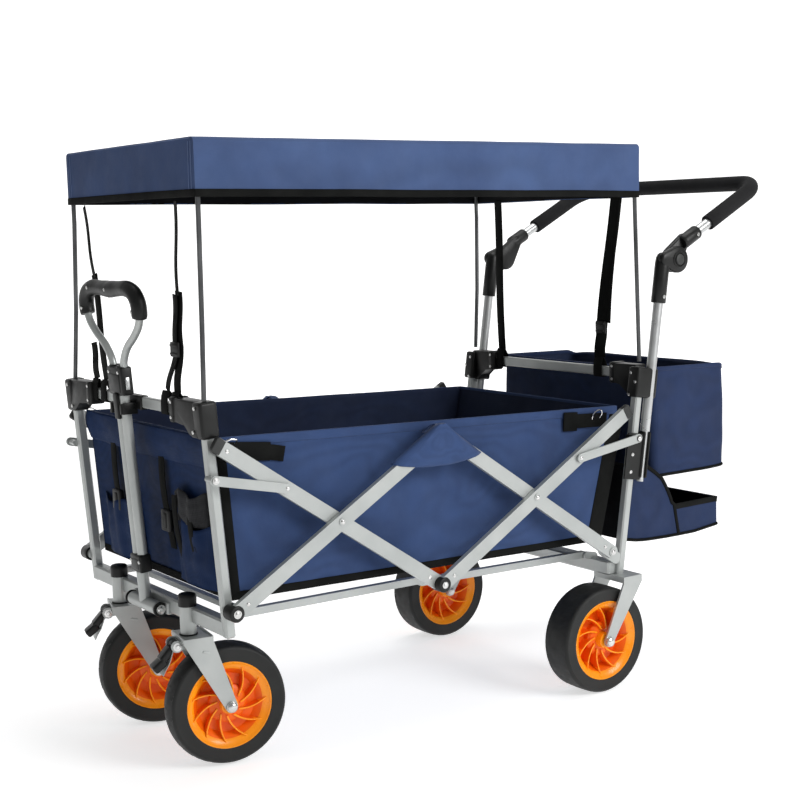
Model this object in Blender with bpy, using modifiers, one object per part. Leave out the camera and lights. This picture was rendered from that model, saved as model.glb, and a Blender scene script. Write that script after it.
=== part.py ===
"""Folding pull wagon: two end frames joined by a double scissor on each side.

X runs along the wagon, the pull handle at -X and the push handle at +X. Left is -Y. The wheels
stand on z = 0. Lengths are metres. Every moving group hangs from an empty on its joint axis.
"""
from math import acos, asin, atan2, cos, hypot, pi, radians, sin, tan

import bmesh
import bpy
from mathutils import Matrix, Vector

# ---- driving dimensions -------------------------------------------------------------------
GAP = 0.0003                 # clearance between touching pieces
SIDES = (("left", -1), ("right", 1))

POST = 0.016                 # square post tube
POST_Y = 0.2445
FRONT_FOOT = (-0.5542, 0.2370)
FRONT_HEAD = (-0.5816, 0.5975)
REAR_FOOT = (0.2540, 0.2050)
REAR_HEAD = (0.3098, 0.5730)

INNER_Y = (0.2620, 0.2710)    # layers, outward from the post
OUTER_Y = (0.2725, 0.2815)
FRONT_STAY_Y = (0.2725, 0.2760)
REAR_STAY_Y = (0.2832, 0.2867)
BAR_WIDTH = 0.024
STAY_WIDTH = 0.015
STUD = 0.0060
PIN = 0.0040

FRONT_HUB = (-0.5594, 0.2820)      # lower pivot of the front scissor bar
FRONT_CROSSING = (-0.3670, 0.3967)
FOLD_CENTRE = (-0.1675, 0.3900)    # a point on the plane the two halves mirror about
FOLD_LEAN = radians(1.7)           # lean of that plane towards +X
BAR_TAIL = 0.2450                  # upper stretch of a bar, from its crossing to its free end
STAY_REACH = 0.1133                # crossing to the stay's rivet
FRONT_STAY = (-0.5838, 0.4870)
REAR_STAY = (0.2692, 0.4635)

FRONT_RAIL = ((-0.5360, 0.2585), (-0.1500, 0.2560))
REAR_RAIL = ((0.2215, 0.2400), (-0.1525, 0.2477))
FRONT_RAIL_Y = 0.2000
REAR_RAIL_Y = 0.1860
RAIL = 0.0120

FRONT_WHEEL = (0.1000, 0.0235)     # radius, half width
REAR_WHEEL = (0.0975, 0.0305)
REAR_AXLE = (0.1998, 0.0975)
REAR_WHEEL_Y = 0.2399
CASTER = (-0.5660, 0.1293)
CASTER_TRAIL = 0.0565
CASTER_YAW = {"left": radians(9.46), "right": radians(15.94)}
FORK_HALF = 0.0330
REAR_FORK_HALF = 0.0400

PULL_PIVOT = (-0.5776, 0.2460)
PULL_LEAN = atan2(0.0721, 0.9974)
PULL_TUBE_Y = 0.0085
PULL_LEG = 0.0060

TUBE_FOOT = (0.3190, 0.4680)       # push tube, parallel to the rear post
TUBE_TOP = (0.3546, 0.7026)
TUBE_Y = 0.2500
PUSH_PIVOT = (0.3955, 0.7812)
PUSH_SLEEVE = (0.4545, 0.8307)     # outer end of the upper sleeve
PUSH_ANGLE = radians(27.5)
PUSH_BAR_X = 0.6285

CANOPY_X = (-0.5795, 0.3185)
CANOPY_HALF = 0.2395
CANOPY_Z = (0.8968, 0.9923)
POLE = 0.0040
TUB_HALF = 0.2340
BASKET_HALF = 0.2220
TRAY_HALF = 0.2340

# ---- scene, collections and materials ------------------------------------------------------
for old in list(bpy.data.objects):
    bpy.data.objects.remove(old, do_unlink=True)

PARTS = bpy.data.collections.new("pull_wagon")
CUTTERS = bpy.data.collections.new("cutters")
bpy.context.scene.collection.children.link(PARTS)
bpy.context.scene.collection.children.link(CUTTERS)


def material(name, colour, roughness, metallic):
    made = bpy.data.materials.new(name)
    made.use_nodes = True
    shader = made.node_tree.nodes["Principled BSDF"]
    shader.inputs["Base Color"].default_value = (*colour, 1.0)
    shader.inputs["Roughness"].default_value = roughness
    shader.inputs["Metallic"].default_value = metallic
    return made


POWDER = material("grey_powder_coat", (0.50, 0.53, 0.52), 0.42, 0.35)
ALLOY = material("silver_alloy", (0.66, 0.67, 0.68), 0.30, 0.9)
BLACK = material("black_plastic", (0.016, 0.017, 0.018), 0.48, 0.0)
FOAM = material("black_foam", (0.012, 0.012, 0.013), 0.85, 0.0)
RUBBER = material("tyre_rubber", (0.020, 0.021, 0.021), 0.80, 0.0)
ORANGE = material("orange_plastic", (0.90, 0.22, 0.015), 0.38, 0.0)
FABRIC = material("navy_fabric", (0.055, 0.095, 0.24), 0.85, 0.0)
BOARD = material("floor_board", (0.030, 0.050, 0.120), 0.80, 0.0)
ROD = material("grey_rod", (0.10, 0.10, 0.11), 0.40, 0.2)


# ---- shape helpers -------------------------------------------------------------------------
def new_object(data):
    """A loose object in the cutter collection, until it is named as a part."""
    obj = bpy.data.objects.new("shape", data)
    CUTTERS.objects.link(obj)
    obj.hide_render = True
    obj.display_type = "WIRE"
    return obj


def from_bmesh(bm):
    bmesh.ops.recalc_face_normals(bm, faces=bm.faces)
    mesh = bpy.data.meshes.new("shape")
    bm.to_mesh(mesh)
    bm.free()
    return new_object(mesh)


def bevel(obj, width, segments=1):
    mod = obj.modifiers.new("edge", "BEVEL")
    mod.width = width
    mod.segments = segments
    mod.limit_method = "ANGLE"
    return obj


def box(size, centre, turn=0.0, edge=0.0):
    """A box, turned about Y by turn (positive lifts +X), with rounded edges."""
    bm = bmesh.new()
    bmesh.ops.create_cube(bm, size=1.0, matrix=Matrix.Diagonal((*size, 1.0)))
    obj = from_bmesh(bm)
    obj.location = centre
    obj.rotation_euler = (0.0, -turn, 0.0)
    if edge:
        bevel(obj, edge)
    return obj


def span(low, high, edge=0.0):
    """A box between two corners."""
    size = [b - a for a, b in zip(low, high)]
    return box(size, [(a + b) / 2 for a, b in zip(low, high)], edge=edge)


def beam(start, end, y, width, depth, edge=0.0):
    """A straight bar in the plane of y, from start to end given as (x, z)."""
    dx = end[0] - start[0]
    dz = end[1] - start[1]
    centre = ((start[0] + end[0]) / 2, y, (start[1] + end[1]) / 2)
    return box((hypot(dx, dz), depth, width), centre, turn=atan2(dz, dx), edge=edge)


def rod(start, end, radius, sides=20, top=None):
    """A cylinder or cone between two points."""
    start = Vector(start)
    axis = Vector(end) - start
    bm = bmesh.new()
    bmesh.ops.create_cone(bm, cap_ends=True, segments=sides, radius1=radius,
                          radius2=radius if top is None else top, depth=axis.length)
    obj = from_bmesh(bm)
    obj.location = start + axis / 2
    obj.rotation_euler = axis.to_track_quat("Z", "Y").to_euler()
    return obj


def cross_rod(point, y0, y1, radius, sides=20):
    """A cylinder along Y through (x, z)."""
    return rod((point[0], y0, point[1]), (point[0], y1, point[1]), radius, sides)


def turned(profile, steps):
    """A ring turned about its own Z: the profile is (radius, height) down its outer side."""
    bm = bmesh.new()
    points = [bm.verts.new((r, 0.0, h)) for r, h in profile]
    for a, b in zip(points, points[1:] + points[:1]):
        bm.edges.new((a, b))
    mesh = bpy.data.meshes.new("shape")
    bm.to_mesh(mesh)
    bm.free()
    obj = new_object(mesh)
    mod = obj.modifiers.new("turn", "SCREW")
    mod.steps = steps
    mod.render_steps = steps
    mod.use_merge_vertices = True
    mod.merge_threshold = 0.0001
    mod.use_normal_calculate = False
    return obj


def as_mesh(curve_obj):
    """The curve's surface as a mesh object, its caps welded to its sides."""
    graph = bpy.context.evaluated_depsgraph_get()
    mesh = bpy.data.meshes.new_from_object(curve_obj.evaluated_get(graph))
    bm = bmesh.new()
    bm.from_mesh(mesh)
    bmesh.ops.remove_doubles(bm, verts=bm.verts, dist=0.00001)
    bmesh.ops.recalc_face_normals(bm, faces=bm.faces)
    bm.to_mesh(mesh)
    bm.free()
    obj = new_object(mesh)
    obj.matrix_world = curve_obj.matrix_world
    bpy.data.objects.remove(curve_obj, do_unlink=True)
    return obj


def plate(outline, y0, y1, holes=()):
    """A flat plate in the XZ plane between two depths; holes are (point, radius)."""
    data = bpy.data.curves.new("outline", "CURVE")
    data.dimensions = "2D"
    data.fill_mode = "BOTH"
    data.extrude = (y1 - y0) / 2
    loops = [outline] + [arc(point, radius, 0.0, 2 * pi, 16)[:-1] for point, radius in holes]
    for loop in loops:
        spline = data.splines.new("POLY")
        spline.points.add(len(loop) - 1)
        for spot, (x, z) in zip(spline.points, loop):
            spot.co = (x, z, 0.0, 1.0)
        spline.use_cyclic_u = True
    obj = new_object(data)
    obj.rotation_euler = (pi / 2, 0.0, 0.0)
    obj.location = (0.0, (y0 + y1) / 2, 0.0)
    bpy.context.view_layer.update()
    return as_mesh(obj)


def tube(points, radius, resolution=3):
    """A round tube along a list of points."""
    data = bpy.data.curves.new("route", "CURVE")
    data.dimensions = "3D"
    data.bevel_depth = radius
    data.bevel_resolution = resolution
    data.use_fill_caps = True
    spline = data.splines.new("POLY")
    spline.points.add(len(points) - 1)
    for spot, point in zip(spline.points, points):
        spot.co = (*point, 1.0)
    obj = new_object(data)
    bpy.context.view_layer.update()
    return as_mesh(obj)


def arc(centre, radius, start, end, steps):
    """Points on an arc, both ends included."""
    turns = [start + (end - start) * i / steps for i in range(steps + 1)]
    return [(centre[0] + radius * cos(t), centre[1] + radius * sin(t)) for t in turns]


def capsule(start, end, r0, r1, steps=8):
    """The outline around two circles and their common tangents."""
    dx = end[0] - start[0]
    dz = end[1] - start[1]
    heading = atan2(dz, dx)
    spread = acos((r0 - r1) / hypot(dx, dz))
    near = arc(start, r0, heading + spread, heading + 2 * pi - spread, steps)
    far = arc(end, r1, heading - spread, heading + spread, steps)
    return near + far


def combine(base, others, operation):
    for other in others:
        mod = base.modifiers.new(operation.lower(), "BOOLEAN")
        mod.object = other
        mod.operation = operation
        mod.solver = "EXACT"
    return base


def join(base, *others):
    return combine(base, others, "UNION")


def cut(base, *others):
    return combine(base, others, "DIFFERENCE")


def place(obj, placing):
    """Move a finished shape and the shapes its Booleans use."""
    bpy.context.view_layer.update()
    moved = [obj]
    for shape in moved:
        for mod in shape.modifiers:
            if mod.type == "BOOLEAN" and mod.object not in moved:
                moved.append(mod.object)
    for shape in moved:
        shape.matrix_world = placing @ shape.matrix_world
    return obj


def part(name, obj, mat, parent):
    """Name a finished shape, give it its material and hang it on its body."""
    CUTTERS.objects.unlink(obj)
    PARTS.objects.link(obj)
    obj.name = name
    obj.hide_render = False
    obj.display_type = "TEXTURED"
    obj.data.materials.clear()
    obj.data.materials.append(mat)
    bpy.context.view_layer.update()
    obj.parent = parent
    obj.matrix_parent_inverse = parent.matrix_world.inverted()
    obj.data.shade_smooth()
    obj.data.set_sharp_from_angle(angle=radians(35))
    return obj


def axis_empty(name, point, parent=None):
    """An empty on a joint axis, which carries the pieces of one moving body."""
    empty = bpy.data.objects.new(name, None)
    PARTS.objects.link(empty)
    empty.empty_display_size = 0.02
    empty.location = point
    bpy.context.view_layer.update()
    if parent:
        empty.parent = parent
        empty.matrix_parent_inverse = parent.matrix_world.inverted()
        bpy.context.view_layer.update()
    return empty


def along(start, end, share):
    return tuple(a + (b - a) * share for a, b in zip(start, end))


def step(point, angle, distance):
    """The (x, z) point at a distance from another in a direction."""
    return (point[0] + distance * cos(angle), point[1] + distance * sin(angle))


def mirrored(point):
    """The (x, z) point on the other side of the fold plane."""
    normal = (cos(FOLD_LEAN), -sin(FOLD_LEAN))
    depth = (point[0] - FOLD_CENTRE[0]) * normal[0] + (point[1] - FOLD_CENTRE[1]) * normal[1]
    return (point[0] - 2 * depth * normal[0], point[1] - 2 * depth * normal[1])


# ---- scissor geometry ----------------------------------------------------------------------
RISE = atan2(FRONT_CROSSING[1] - FRONT_HUB[1], FRONT_CROSSING[0] - FRONT_HUB[0])
FALL = -RISE - 2 * FOLD_LEAN       # the crossing bar's slope, so that both hubs are on the plane
REACH = hypot(FRONT_CROSSING[0] - FRONT_HUB[0], FRONT_CROSSING[1] - FRONT_HUB[1])


def hub_reach():
    """Distance along the rising bar from the crossing to the fold plane."""
    normal = (cos(FOLD_LEAN), -sin(FOLD_LEAN))
    gap = [(FOLD_CENTRE[i] - FRONT_CROSSING[i]) * normal[i] for i in (0, 1)]
    return sum(gap) / (cos(RISE) * normal[0] + sin(RISE) * normal[1])


HALF_BAR = hub_reach()
TOP_HUB = step(FRONT_CROSSING, RISE, HALF_BAR)
LOW_HUB = step(FRONT_CROSSING, FALL, HALF_BAR)
FRONT_TAIL = step(FRONT_CROSSING, FALL + pi, BAR_TAIL)
FRONT_RIVET = step(FRONT_CROSSING, FALL + pi, STAY_REACH)
REAR_HUB = mirrored(FRONT_HUB)
REAR_CROSSING = mirrored(FRONT_CROSSING)
REAR_TAIL = mirrored(FRONT_TAIL)
REAR_RIVET = mirrored(FRONT_RIVET)

# ---- bodies --------------------------------------------------------------------------------
ROOT = axis_empty("body_root", (0.0, 0.0, 0.0))
RISING = axis_empty("body_scissor_rising", (FRONT_HUB[0], 0.0, FRONT_HUB[1]), ROOT)
FALLING = axis_empty("body_scissor_falling", (FRONT_CROSSING[0], 0.0, FRONT_CROSSING[1]), RISING)
FALLING_REAR = axis_empty("body_scissor_falling_rear", (TOP_HUB[0], 0.0, TOP_HUB[1]), RISING)
RISING_REAR = axis_empty("body_scissor_rising_rear",
                         (REAR_CROSSING[0], 0.0, REAR_CROSSING[1]), FALLING_REAR)
REAR = axis_empty("body_rear", (REAR_HUB[0], 0.0, REAR_HUB[1]), FALLING_REAR)


def side_y(side, y):
    return tuple(sorted((side * y[0], side * y[1])))


def pin_with_head(point, side, y0, y1, radius, head, thickness):
    """A pin along Y whose outer end carries a flat round head."""
    shank = cross_rod(point, side * y0, side * (y1 + GAP), radius, 16)
    return shank, cross_rod(point, side * y1, side * (y1 + thickness), head, 16)


# ---- front end frame -----------------------------------------------------------------------
CROSS_Z = 0.2520


def frame_posts(foot, head):
    return [beam(foot, head, side * POST_Y, POST, POST, edge=0.0025) for _, side in SIDES]


def hub_studs(hub, bars):
    """The pivot studs that carry the lower scissor bar ends, one on each side."""
    studs = []
    for _, side in SIDES:
        studs.append(cross_rod(hub, side * 0.2480, side * (bars[0] - GAP), 0.0090, 16))
        studs += pin_with_head(hub, side, 0.2495, bars[1] + GAP, STUD, 0.0085, 0.0009)
    return studs


def build_front_frame():
    """Posts, lower cross tube, caster sockets, handle bracket and rail lugs, welded together."""
    x = FRONT_FOOT[0] + 0.0002
    posts = frame_posts(FRONT_FOOT, FRONT_HEAD)
    shapes = [posts[1], box((0.022, 2 * POST_Y, 0.026), (x, 0.0, CROSS_Z), edge=0.003)]
    for _, side in SIDES:
        shapes.append(rod((CASTER[0], side * CASTER[1], 0.2200), (CASTER[0], side * CASTER[1], 0.2660),
                          0.0130, 24))
        arm = capsule((x, PULL_PIVOT[1]), PULL_PIVOT, 0.0095, 0.0090)
        shapes.append(plate(arm, *side_y(side, (0.0485, 0.0525))))
        lug = capsule((x, FRONT_RAIL[0][1] - 0.002), FRONT_RAIL[0], 0.0060, 0.0060)
        shapes.append(plate(lug, *side_y(side, (0.2075, 0.2115))))
        shapes.append(cross_rod(FRONT_RAIL[0], side * 0.1900, side * 0.2080, 0.0035, 12))
        shapes.append(cross_rod(FRONT_STAY, side * 0.2500, side * (FRONT_STAY_Y[0] - GAP), 0.0048, 12))
        shapes += pin_with_head(FRONT_STAY, side, 0.2560, FRONT_STAY_Y[1] + GAP, 0.0030, 0.0055, 0.0012)
    shapes.append(cross_rod(PULL_PIVOT, -0.0560, 0.0560, 0.0040, 16))
    shapes += hub_studs(FRONT_HUB, OUTER_Y)
    part("front_frame", join(posts[0], *shapes), POWDER, ROOT)


def corner_block(foot, head, centre, length, reach, bar, arm_y, tube_hole=None):
    """A plastic block over a post's head, with an arm that takes the upper cross bar.

    reach gives how far it stands in front of and behind the post's axis.
    """
    lean = atan2(head[1] - foot[1], head[0] - foot[0])
    middle = step(centre, lean - pi / 2, (reach[1] - reach[0]) / 2)
    shapes = []
    for _, side in SIDES:
        sleeve = box((length, 0.0260, reach[0] + reach[1]), (middle[0], side * 0.2450, middle[1]),
                     turn=lean, edge=0.004)
        arm_half = (arm_y[1] - arm_y[0]) / 2
        arm = box((0.026, 2 * arm_half, 0.036),
                  (bar[0], side * (arm_y[0] + arm_half), bar[1]), edge=0.003)
        socket = beam(foot, step(head, lean, GAP), side * POST_Y, POST + 2 * GAP, POST + 2 * GAP)
        slot = box((0.010 + 2 * GAP, 0.1, 0.018 + 2 * GAP),
                   (bar[0], side * (0.2300 + GAP - 0.05), bar[1]))
        shape = cut(join(sleeve, arm), socket, slot)
        if tube_hole:
            cut(shape, rod((tube_hole[0][0], side * TUBE_Y, tube_hole[0][1]),
                           (tube_hole[1][0], side * TUBE_Y, tube_hole[1][1]), 0.0093, 20))
        shapes.append(shape)
    return shapes


def upper_bar(name, centre, parent):
    bar = box((0.010, 2 * 0.2300, 0.018), (centre[0], 0.0, centre[1]), edge=0.002)
    part(name, bar, POWDER, parent)


def build_front_top():
    centre = along(FRONT_FOOT, FRONT_HEAD, 0.9370)
    bar = (along(FRONT_FOOT, FRONT_HEAD, 0.9600)[0], 0.5840)
    blocks = corner_block(FRONT_FOOT, FRONT_HEAD, centre, 0.0560, (0.0150, 0.0150), bar,
                          (0.1500, 0.2400))
    for (name, _), block in zip(SIDES, blocks):
        part("front_corner_block_" + name, block, BLACK, ROOT)
    upper_bar("front_upper_bar", bar, ROOT)


# ---- rear end frame ------------------------------------------------------------------------
BRIDGE_Z = (0.1990, 0.2100)


def fork(top, width, depth, plate_thickness, leg, axle, half):
    """A pressed fork: a top plate with two legs that taper down to the axle, and the axle bolt.

    top is the middle of the plate's upper face as (x, z); width its reach before and behind it.
    """
    left = (top[0] - width[0], top[1])
    right = (top[0] + width[1], top[1])
    low_left = (left[0], top[1] - depth)
    low_right = (right[0], top[1] - depth)
    r = 0.0100
    turn_l = heading(axle, low_left) + acos(r / distance(axle, low_left))
    turn_r = heading(axle, low_right) - acos(r / distance(axle, low_right))
    outline = [right, left, low_left] + arc(axle, r, turn_l, turn_r + 2 * pi, 8) + [low_right]
    shape = plate(outline, -half, half)
    hollow = span((left[0] - 0.1, leg - half, -0.1),
                  (right[0] + 0.1, half - leg, top[1] - plate_thickness))
    cut(shape, hollow)
    bolt = [cross_rod(axle, leg / 2 - half, half - leg / 2, 0.0050, 16)]
    for lean in (-1, 1):
        bolt.append(cross_rod(axle, lean * (half - 0.0012), lean * (half + 0.0045), 0.0085, 12))
    return join(shape, *bolt)


def heading(start, end):
    return atan2(end[1] - start[1], end[0] - start[0])


def distance(start, end):
    return hypot(end[0] - start[0], end[1] - start[1])


def build_rear_frame():
    """Posts, lower cross tube and both wheel forks, welded together, with the wheel axles."""
    posts = frame_posts(REAR_FOOT, REAR_HEAD)
    shapes = [posts[1], box((0.022, 2 * POST_Y, 0.026), (0.2410, 0.0, 0.2215), edge=0.003)]
    for _, side in SIDES:
        wheel_fork = fork((0.2585, BRIDGE_Z[1]), (0.0225, 0.0225), 0.0120, 0.0110, 0.0040,
                          REAR_AXLE, REAR_FORK_HALF)
        shapes.append(place(wheel_fork, Matrix.Translation((0.0, side * REAR_WHEEL_Y, 0.0))))
        ear = capsule((0.2440, 0.2410), REAR_HUB, 0.0110, 0.0110)
        shapes.append(plate(ear, *side_y(side, (0.2430, 0.2520))))
        lug = capsule((0.2410, REAR_RAIL[0][1] - 0.004), REAR_RAIL[0], 0.0065, 0.0065)
        shapes.append(plate(lug, *side_y(side, (0.1935, 0.1975))))
        shapes.append(cross_rod(REAR_RAIL[0], side * 0.1760, side * 0.1940, 0.0035, 12))
    shapes += hub_studs(REAR_HUB, INNER_Y)
    part("rear_frame", join(posts[0], *shapes), POWDER, REAR)


def build_rear_top():
    centre = along(REAR_FOOT, REAR_HEAD, 0.9640)
    hole = (along(TUBE_FOOT, TUBE_TOP, 0.1), along(TUBE_FOOT, TUBE_TOP, 0.8))
    bar = (0.3160, 0.5735)
    blocks = corner_block(REAR_FOOT, REAR_HEAD, centre, 0.0560, (0.0150, 0.0375), bar,
                          (0.1720, 0.2400), hole)
    for (name, _), block in zip(SIDES, blocks):
        part("rear_corner_block_" + name, block, BLACK, REAR)
    upper_bar("rear_upper_bar", bar, REAR)


# ---- scissor bars, stays and rails ---------------------------------------------------------
def flat_bar(start, end, layer, side, width, holes):
    """A flat bar with round ends and pivot holes, in one of the side layers."""
    outline = capsule(start, end, width / 2, width / 2)
    return plate(outline, *side_y(side, layer), holes)


def build_scissors():
    """Four bars on each side: the outer layer carries the holes, the inner layer the pins."""
    for name, side in SIDES:
        bores = [(FRONT_HUB, STUD + GAP), (FRONT_CROSSING, PIN + GAP), (TOP_HUB, PIN + GAP)]
        bar = flat_bar(FRONT_HUB, TOP_HUB, OUTER_Y, side, BAR_WIDTH, bores)
        part("scissor_front_rising_" + name, bar, POWDER, RISING)

        bar = flat_bar(FRONT_TAIL, LOW_HUB, INNER_Y, side, BAR_WIDTH, ())
        for point in (FRONT_CROSSING, LOW_HUB):
            join(bar, *pin_with_head(point, side, INNER_Y[1] - 0.003, OUTER_Y[1] + GAP, PIN,
                                     0.0065, 0.0009))
        part("scissor_front_falling_" + name, bar, POWDER, FALLING)

        bar = flat_bar(TOP_HUB, REAR_HUB, INNER_Y, side, BAR_WIDTH, [(REAR_HUB, STUD + GAP)])
        for point in (REAR_CROSSING, TOP_HUB):
            join(bar, *pin_with_head(point, side, INNER_Y[1] - 0.003, OUTER_Y[1] + GAP, PIN,
                                     0.0065, 0.0009))
        part("scissor_rear_falling_" + name, bar, POWDER, FALLING_REAR)

        bores = [(LOW_HUB, PIN + GAP), (REAR_CROSSING, PIN + GAP)]
        bar = flat_bar(LOW_HUB, REAR_TAIL, OUTER_Y, side, BAR_WIDTH, bores)
        part("scissor_rear_rising_" + name, bar, POWDER, RISING_REAR)


def build_stays():
    front = axis_empty("body_front_stay", (FRONT_STAY[0], 0.0, FRONT_STAY[1]), ROOT)
    rear = axis_empty("body_rear_stay", (REAR_STAY[0], 0.0, REAR_STAY[1]), REAR)
    for name, side in SIDES:
        holes = [(FRONT_STAY, 0.0033)]
        bar = flat_bar(FRONT_STAY, FRONT_RIVET, FRONT_STAY_Y, side, STAY_WIDTH, holes)
        part("front_stay_" + name, bar, POWDER, front)
        holes = [(REAR_STAY, 0.0033)]
        bar = flat_bar(REAR_STAY, REAR_RIVET, REAR_STAY_Y, side, STAY_WIDTH, holes)
        part("rear_stay_" + name, bar, POWDER, rear)


def build_rail(name, line, y, inward, parent):
    """A U of two floor rails and a cross tie, hinged on the lugs of a lower cross tube."""
    rails = []
    for _, side in SIDES:
        rail = plate(capsule(line[0], line[1], RAIL / 2, RAIL / 2, 6),
                     *side_y(side, (y - RAIL / 2, y + RAIL / 2)), [(line[0], 0.0038)])
        rails.append(rail)
    tie = along(line[0], line[1], 0.09)
    bar = join(rails[0], rails[1], box((0.012, 2 * y - inward, 0.009), (tie[0], 0.0, tie[1])))
    part(name, bar, POWDER, parent)


def build_rails():
    front = axis_empty("body_front_rail", (FRONT_RAIL[0][0], 0.0, FRONT_RAIL[0][1]), ROOT)
    rear = axis_empty("body_rear_rail", (REAR_RAIL[0][0], 0.0, REAR_RAIL[0][1]), REAR)
    build_rail("front_floor_rail", FRONT_RAIL, FRONT_RAIL_Y, 0.004, front)
    build_rail("rear_floor_rail", REAR_RAIL, REAR_RAIL_Y, 0.004, rear)


# ---- wheels --------------------------------------------------------------------------------
def wheel(prefix, name, centre, yaw, size, rim_radius, parent):
    """A solid tyre on a dished rim, turning about the axle bolt."""
    radius, half = size
    spin = axis_empty("body_%s_wheel_%s" % (prefix, name), centre, parent)
    crown = radius - 0.0012
    shoulder = radius - 0.0042
    seat = rim_radius - 0.0060
    tyre = turned([(crown, half * 0.80), (shoulder, half * 0.985), (rim_radius, half),
                   (seat, half * 0.82), (seat, -half * 0.82), (rim_radius, -half),
                   (shoulder, -half * 0.985), (crown, -half * 0.80), (radius, 0.0)][::-1], 28)
    edge = seat - GAP
    dish = half * 0.12
    hub = half + 0.0010
    rim = turned([(0.0055, hub), (0.0140, hub), (0.0165, dish + 0.004), (edge - 0.0090, dish),
                  (edge - 0.0035, half * 0.78), (edge, half * 0.78), (edge, -half * 0.78),
                  (edge - 0.0035, -half * 0.78), (edge - 0.0090, -dish),
                  (0.0165, -dish - 0.004), (0.0140, -hub), (0.0055, -hub)], 28)
    for obj, kind, mat in ((tyre, "tyre", RUBBER), (rim, "rim", ORANGE)):
        obj.location = centre
        obj.rotation_euler = (pi / 2, 0.0, -yaw)
        part("%s_%s_%s" % (prefix, kind, name), obj, mat, spin)


def build_caster(name, side):
    """A swivelling fork with its trailing wheel and its foot brake."""
    yaw = CASTER_YAW[name]
    pivot = Vector((CASTER[0], side * CASTER[1], 0.0))
    swivel = axis_empty("body_caster_" + name, pivot, ROOT)
    axle = (CASTER_TRAIL, FRONT_WHEEL[0])
    shape = fork((0.006, 0.2195), (0.0245, 0.0245), 0.0070, 0.0070, 0.0035, axle, FORK_HALF)
    for lean in (-1, 1):
        join(shape, plate(capsule((-0.0100, 0.2080), (-0.0240, 0.2060), 0.0070, 0.0065),
                          *sorted((lean * 0.0130, lean * 0.0165))))
    join(shape, cross_rod((-0.0240, 0.2060), -0.0150, 0.0150, 0.0025, 12))

    brake = axis_empty("body_brake_" + name, pivot + turn_z((-0.0240, 0.0, 0.2060), yaw), swivel)
    pedal = box((0.040, 0.022, 0.0090), (-0.0430, 0.0, 0.1890), turn=radians(42), edge=0.002)
    cam = cross_rod((-0.0240, 0.2060), -0.0120, 0.0120, 0.0065, 16)
    cut(join(pedal, cam), cross_rod((-0.0240, 0.2060), -0.02, 0.02, 0.0028, 12))
    placing = Matrix.Translation(pivot) @ Matrix.Rotation(-yaw, 4, "Z")
    for obj in (shape, pedal):
        place(obj, placing)
    part("caster_fork_" + name, shape, POWDER, swivel)
    part("brake_pedal_" + name, pedal, BLACK, brake)
    centre = pivot + turn_z((CASTER_TRAIL, 0.0, FRONT_WHEEL[0]), yaw)
    wheel("front", name, centre, yaw, FRONT_WHEEL, 0.0725, swivel)


def turn_z(point, yaw):
    return Matrix.Rotation(-yaw, 3, "Z") @ Vector(point)


def build_wheels():
    for name, side in SIDES:
        build_caster(name, side)
        centre = Vector((REAR_AXLE[0], side * REAR_WHEEL_Y, REAR_AXLE[1]))
        wheel("rear", name, centre, 0.0, REAR_WHEEL, 0.0736, REAR)


# ---- pull handle ---------------------------------------------------------------------------
def handle_point(y, height):
    """A point in the handle's own plane, height measured along it from the pivot."""
    return (PULL_PIVOT[0] - height * sin(PULL_LEAN), y, PULL_PIVOT[1] + height * cos(PULL_LEAN))


def handle_box(width, depth, low, high, edge):
    centre = handle_point(0.0, (low + high) / 2)
    return box((high - low, width, depth), centre, turn=pi / 2 + PULL_LEAN, edge=edge)


def handle_rod(y, low, high, radius, sides=20):
    return rod(handle_point(y, low), handle_point(y, high), radius, sides)


def smooth_route(corners, steps=4):
    """Points on a smooth curve through a list of 2-D corners (uniform cubic through-curve)."""
    ends = [corners[0]] + corners + [corners[-1]]
    route = []
    for i in range(1, len(ends) - 2):
        p0, p1, p2, p3 = (Vector(p) for p in ends[i - 1:i + 3])
        for k in range(steps):
            t = k / steps
            route.append(0.5 * (2 * p1 + (p2 - p0) * t + (2 * p0 - 5 * p1 + 4 * p2 - p3) * t ** 2
                                + (3 * p1 - p0 - 3 * p2 + p3) * t ** 3))
    return route + [Vector(corners[-1])]


LOOP_HALF = [(0.0085, 0.3540), (0.0115, 0.3680), (0.0190, 0.3900), (0.0235, 0.4080),
             (0.0420, 0.4290), (0.0720, 0.4480), (0.0930, 0.4660), (0.1010, 0.4860),
             (0.0985, 0.5040), (0.0860, 0.5170), (0.0640, 0.5230), (0.0320, 0.5225), (0.0, 0.5210)]


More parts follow.
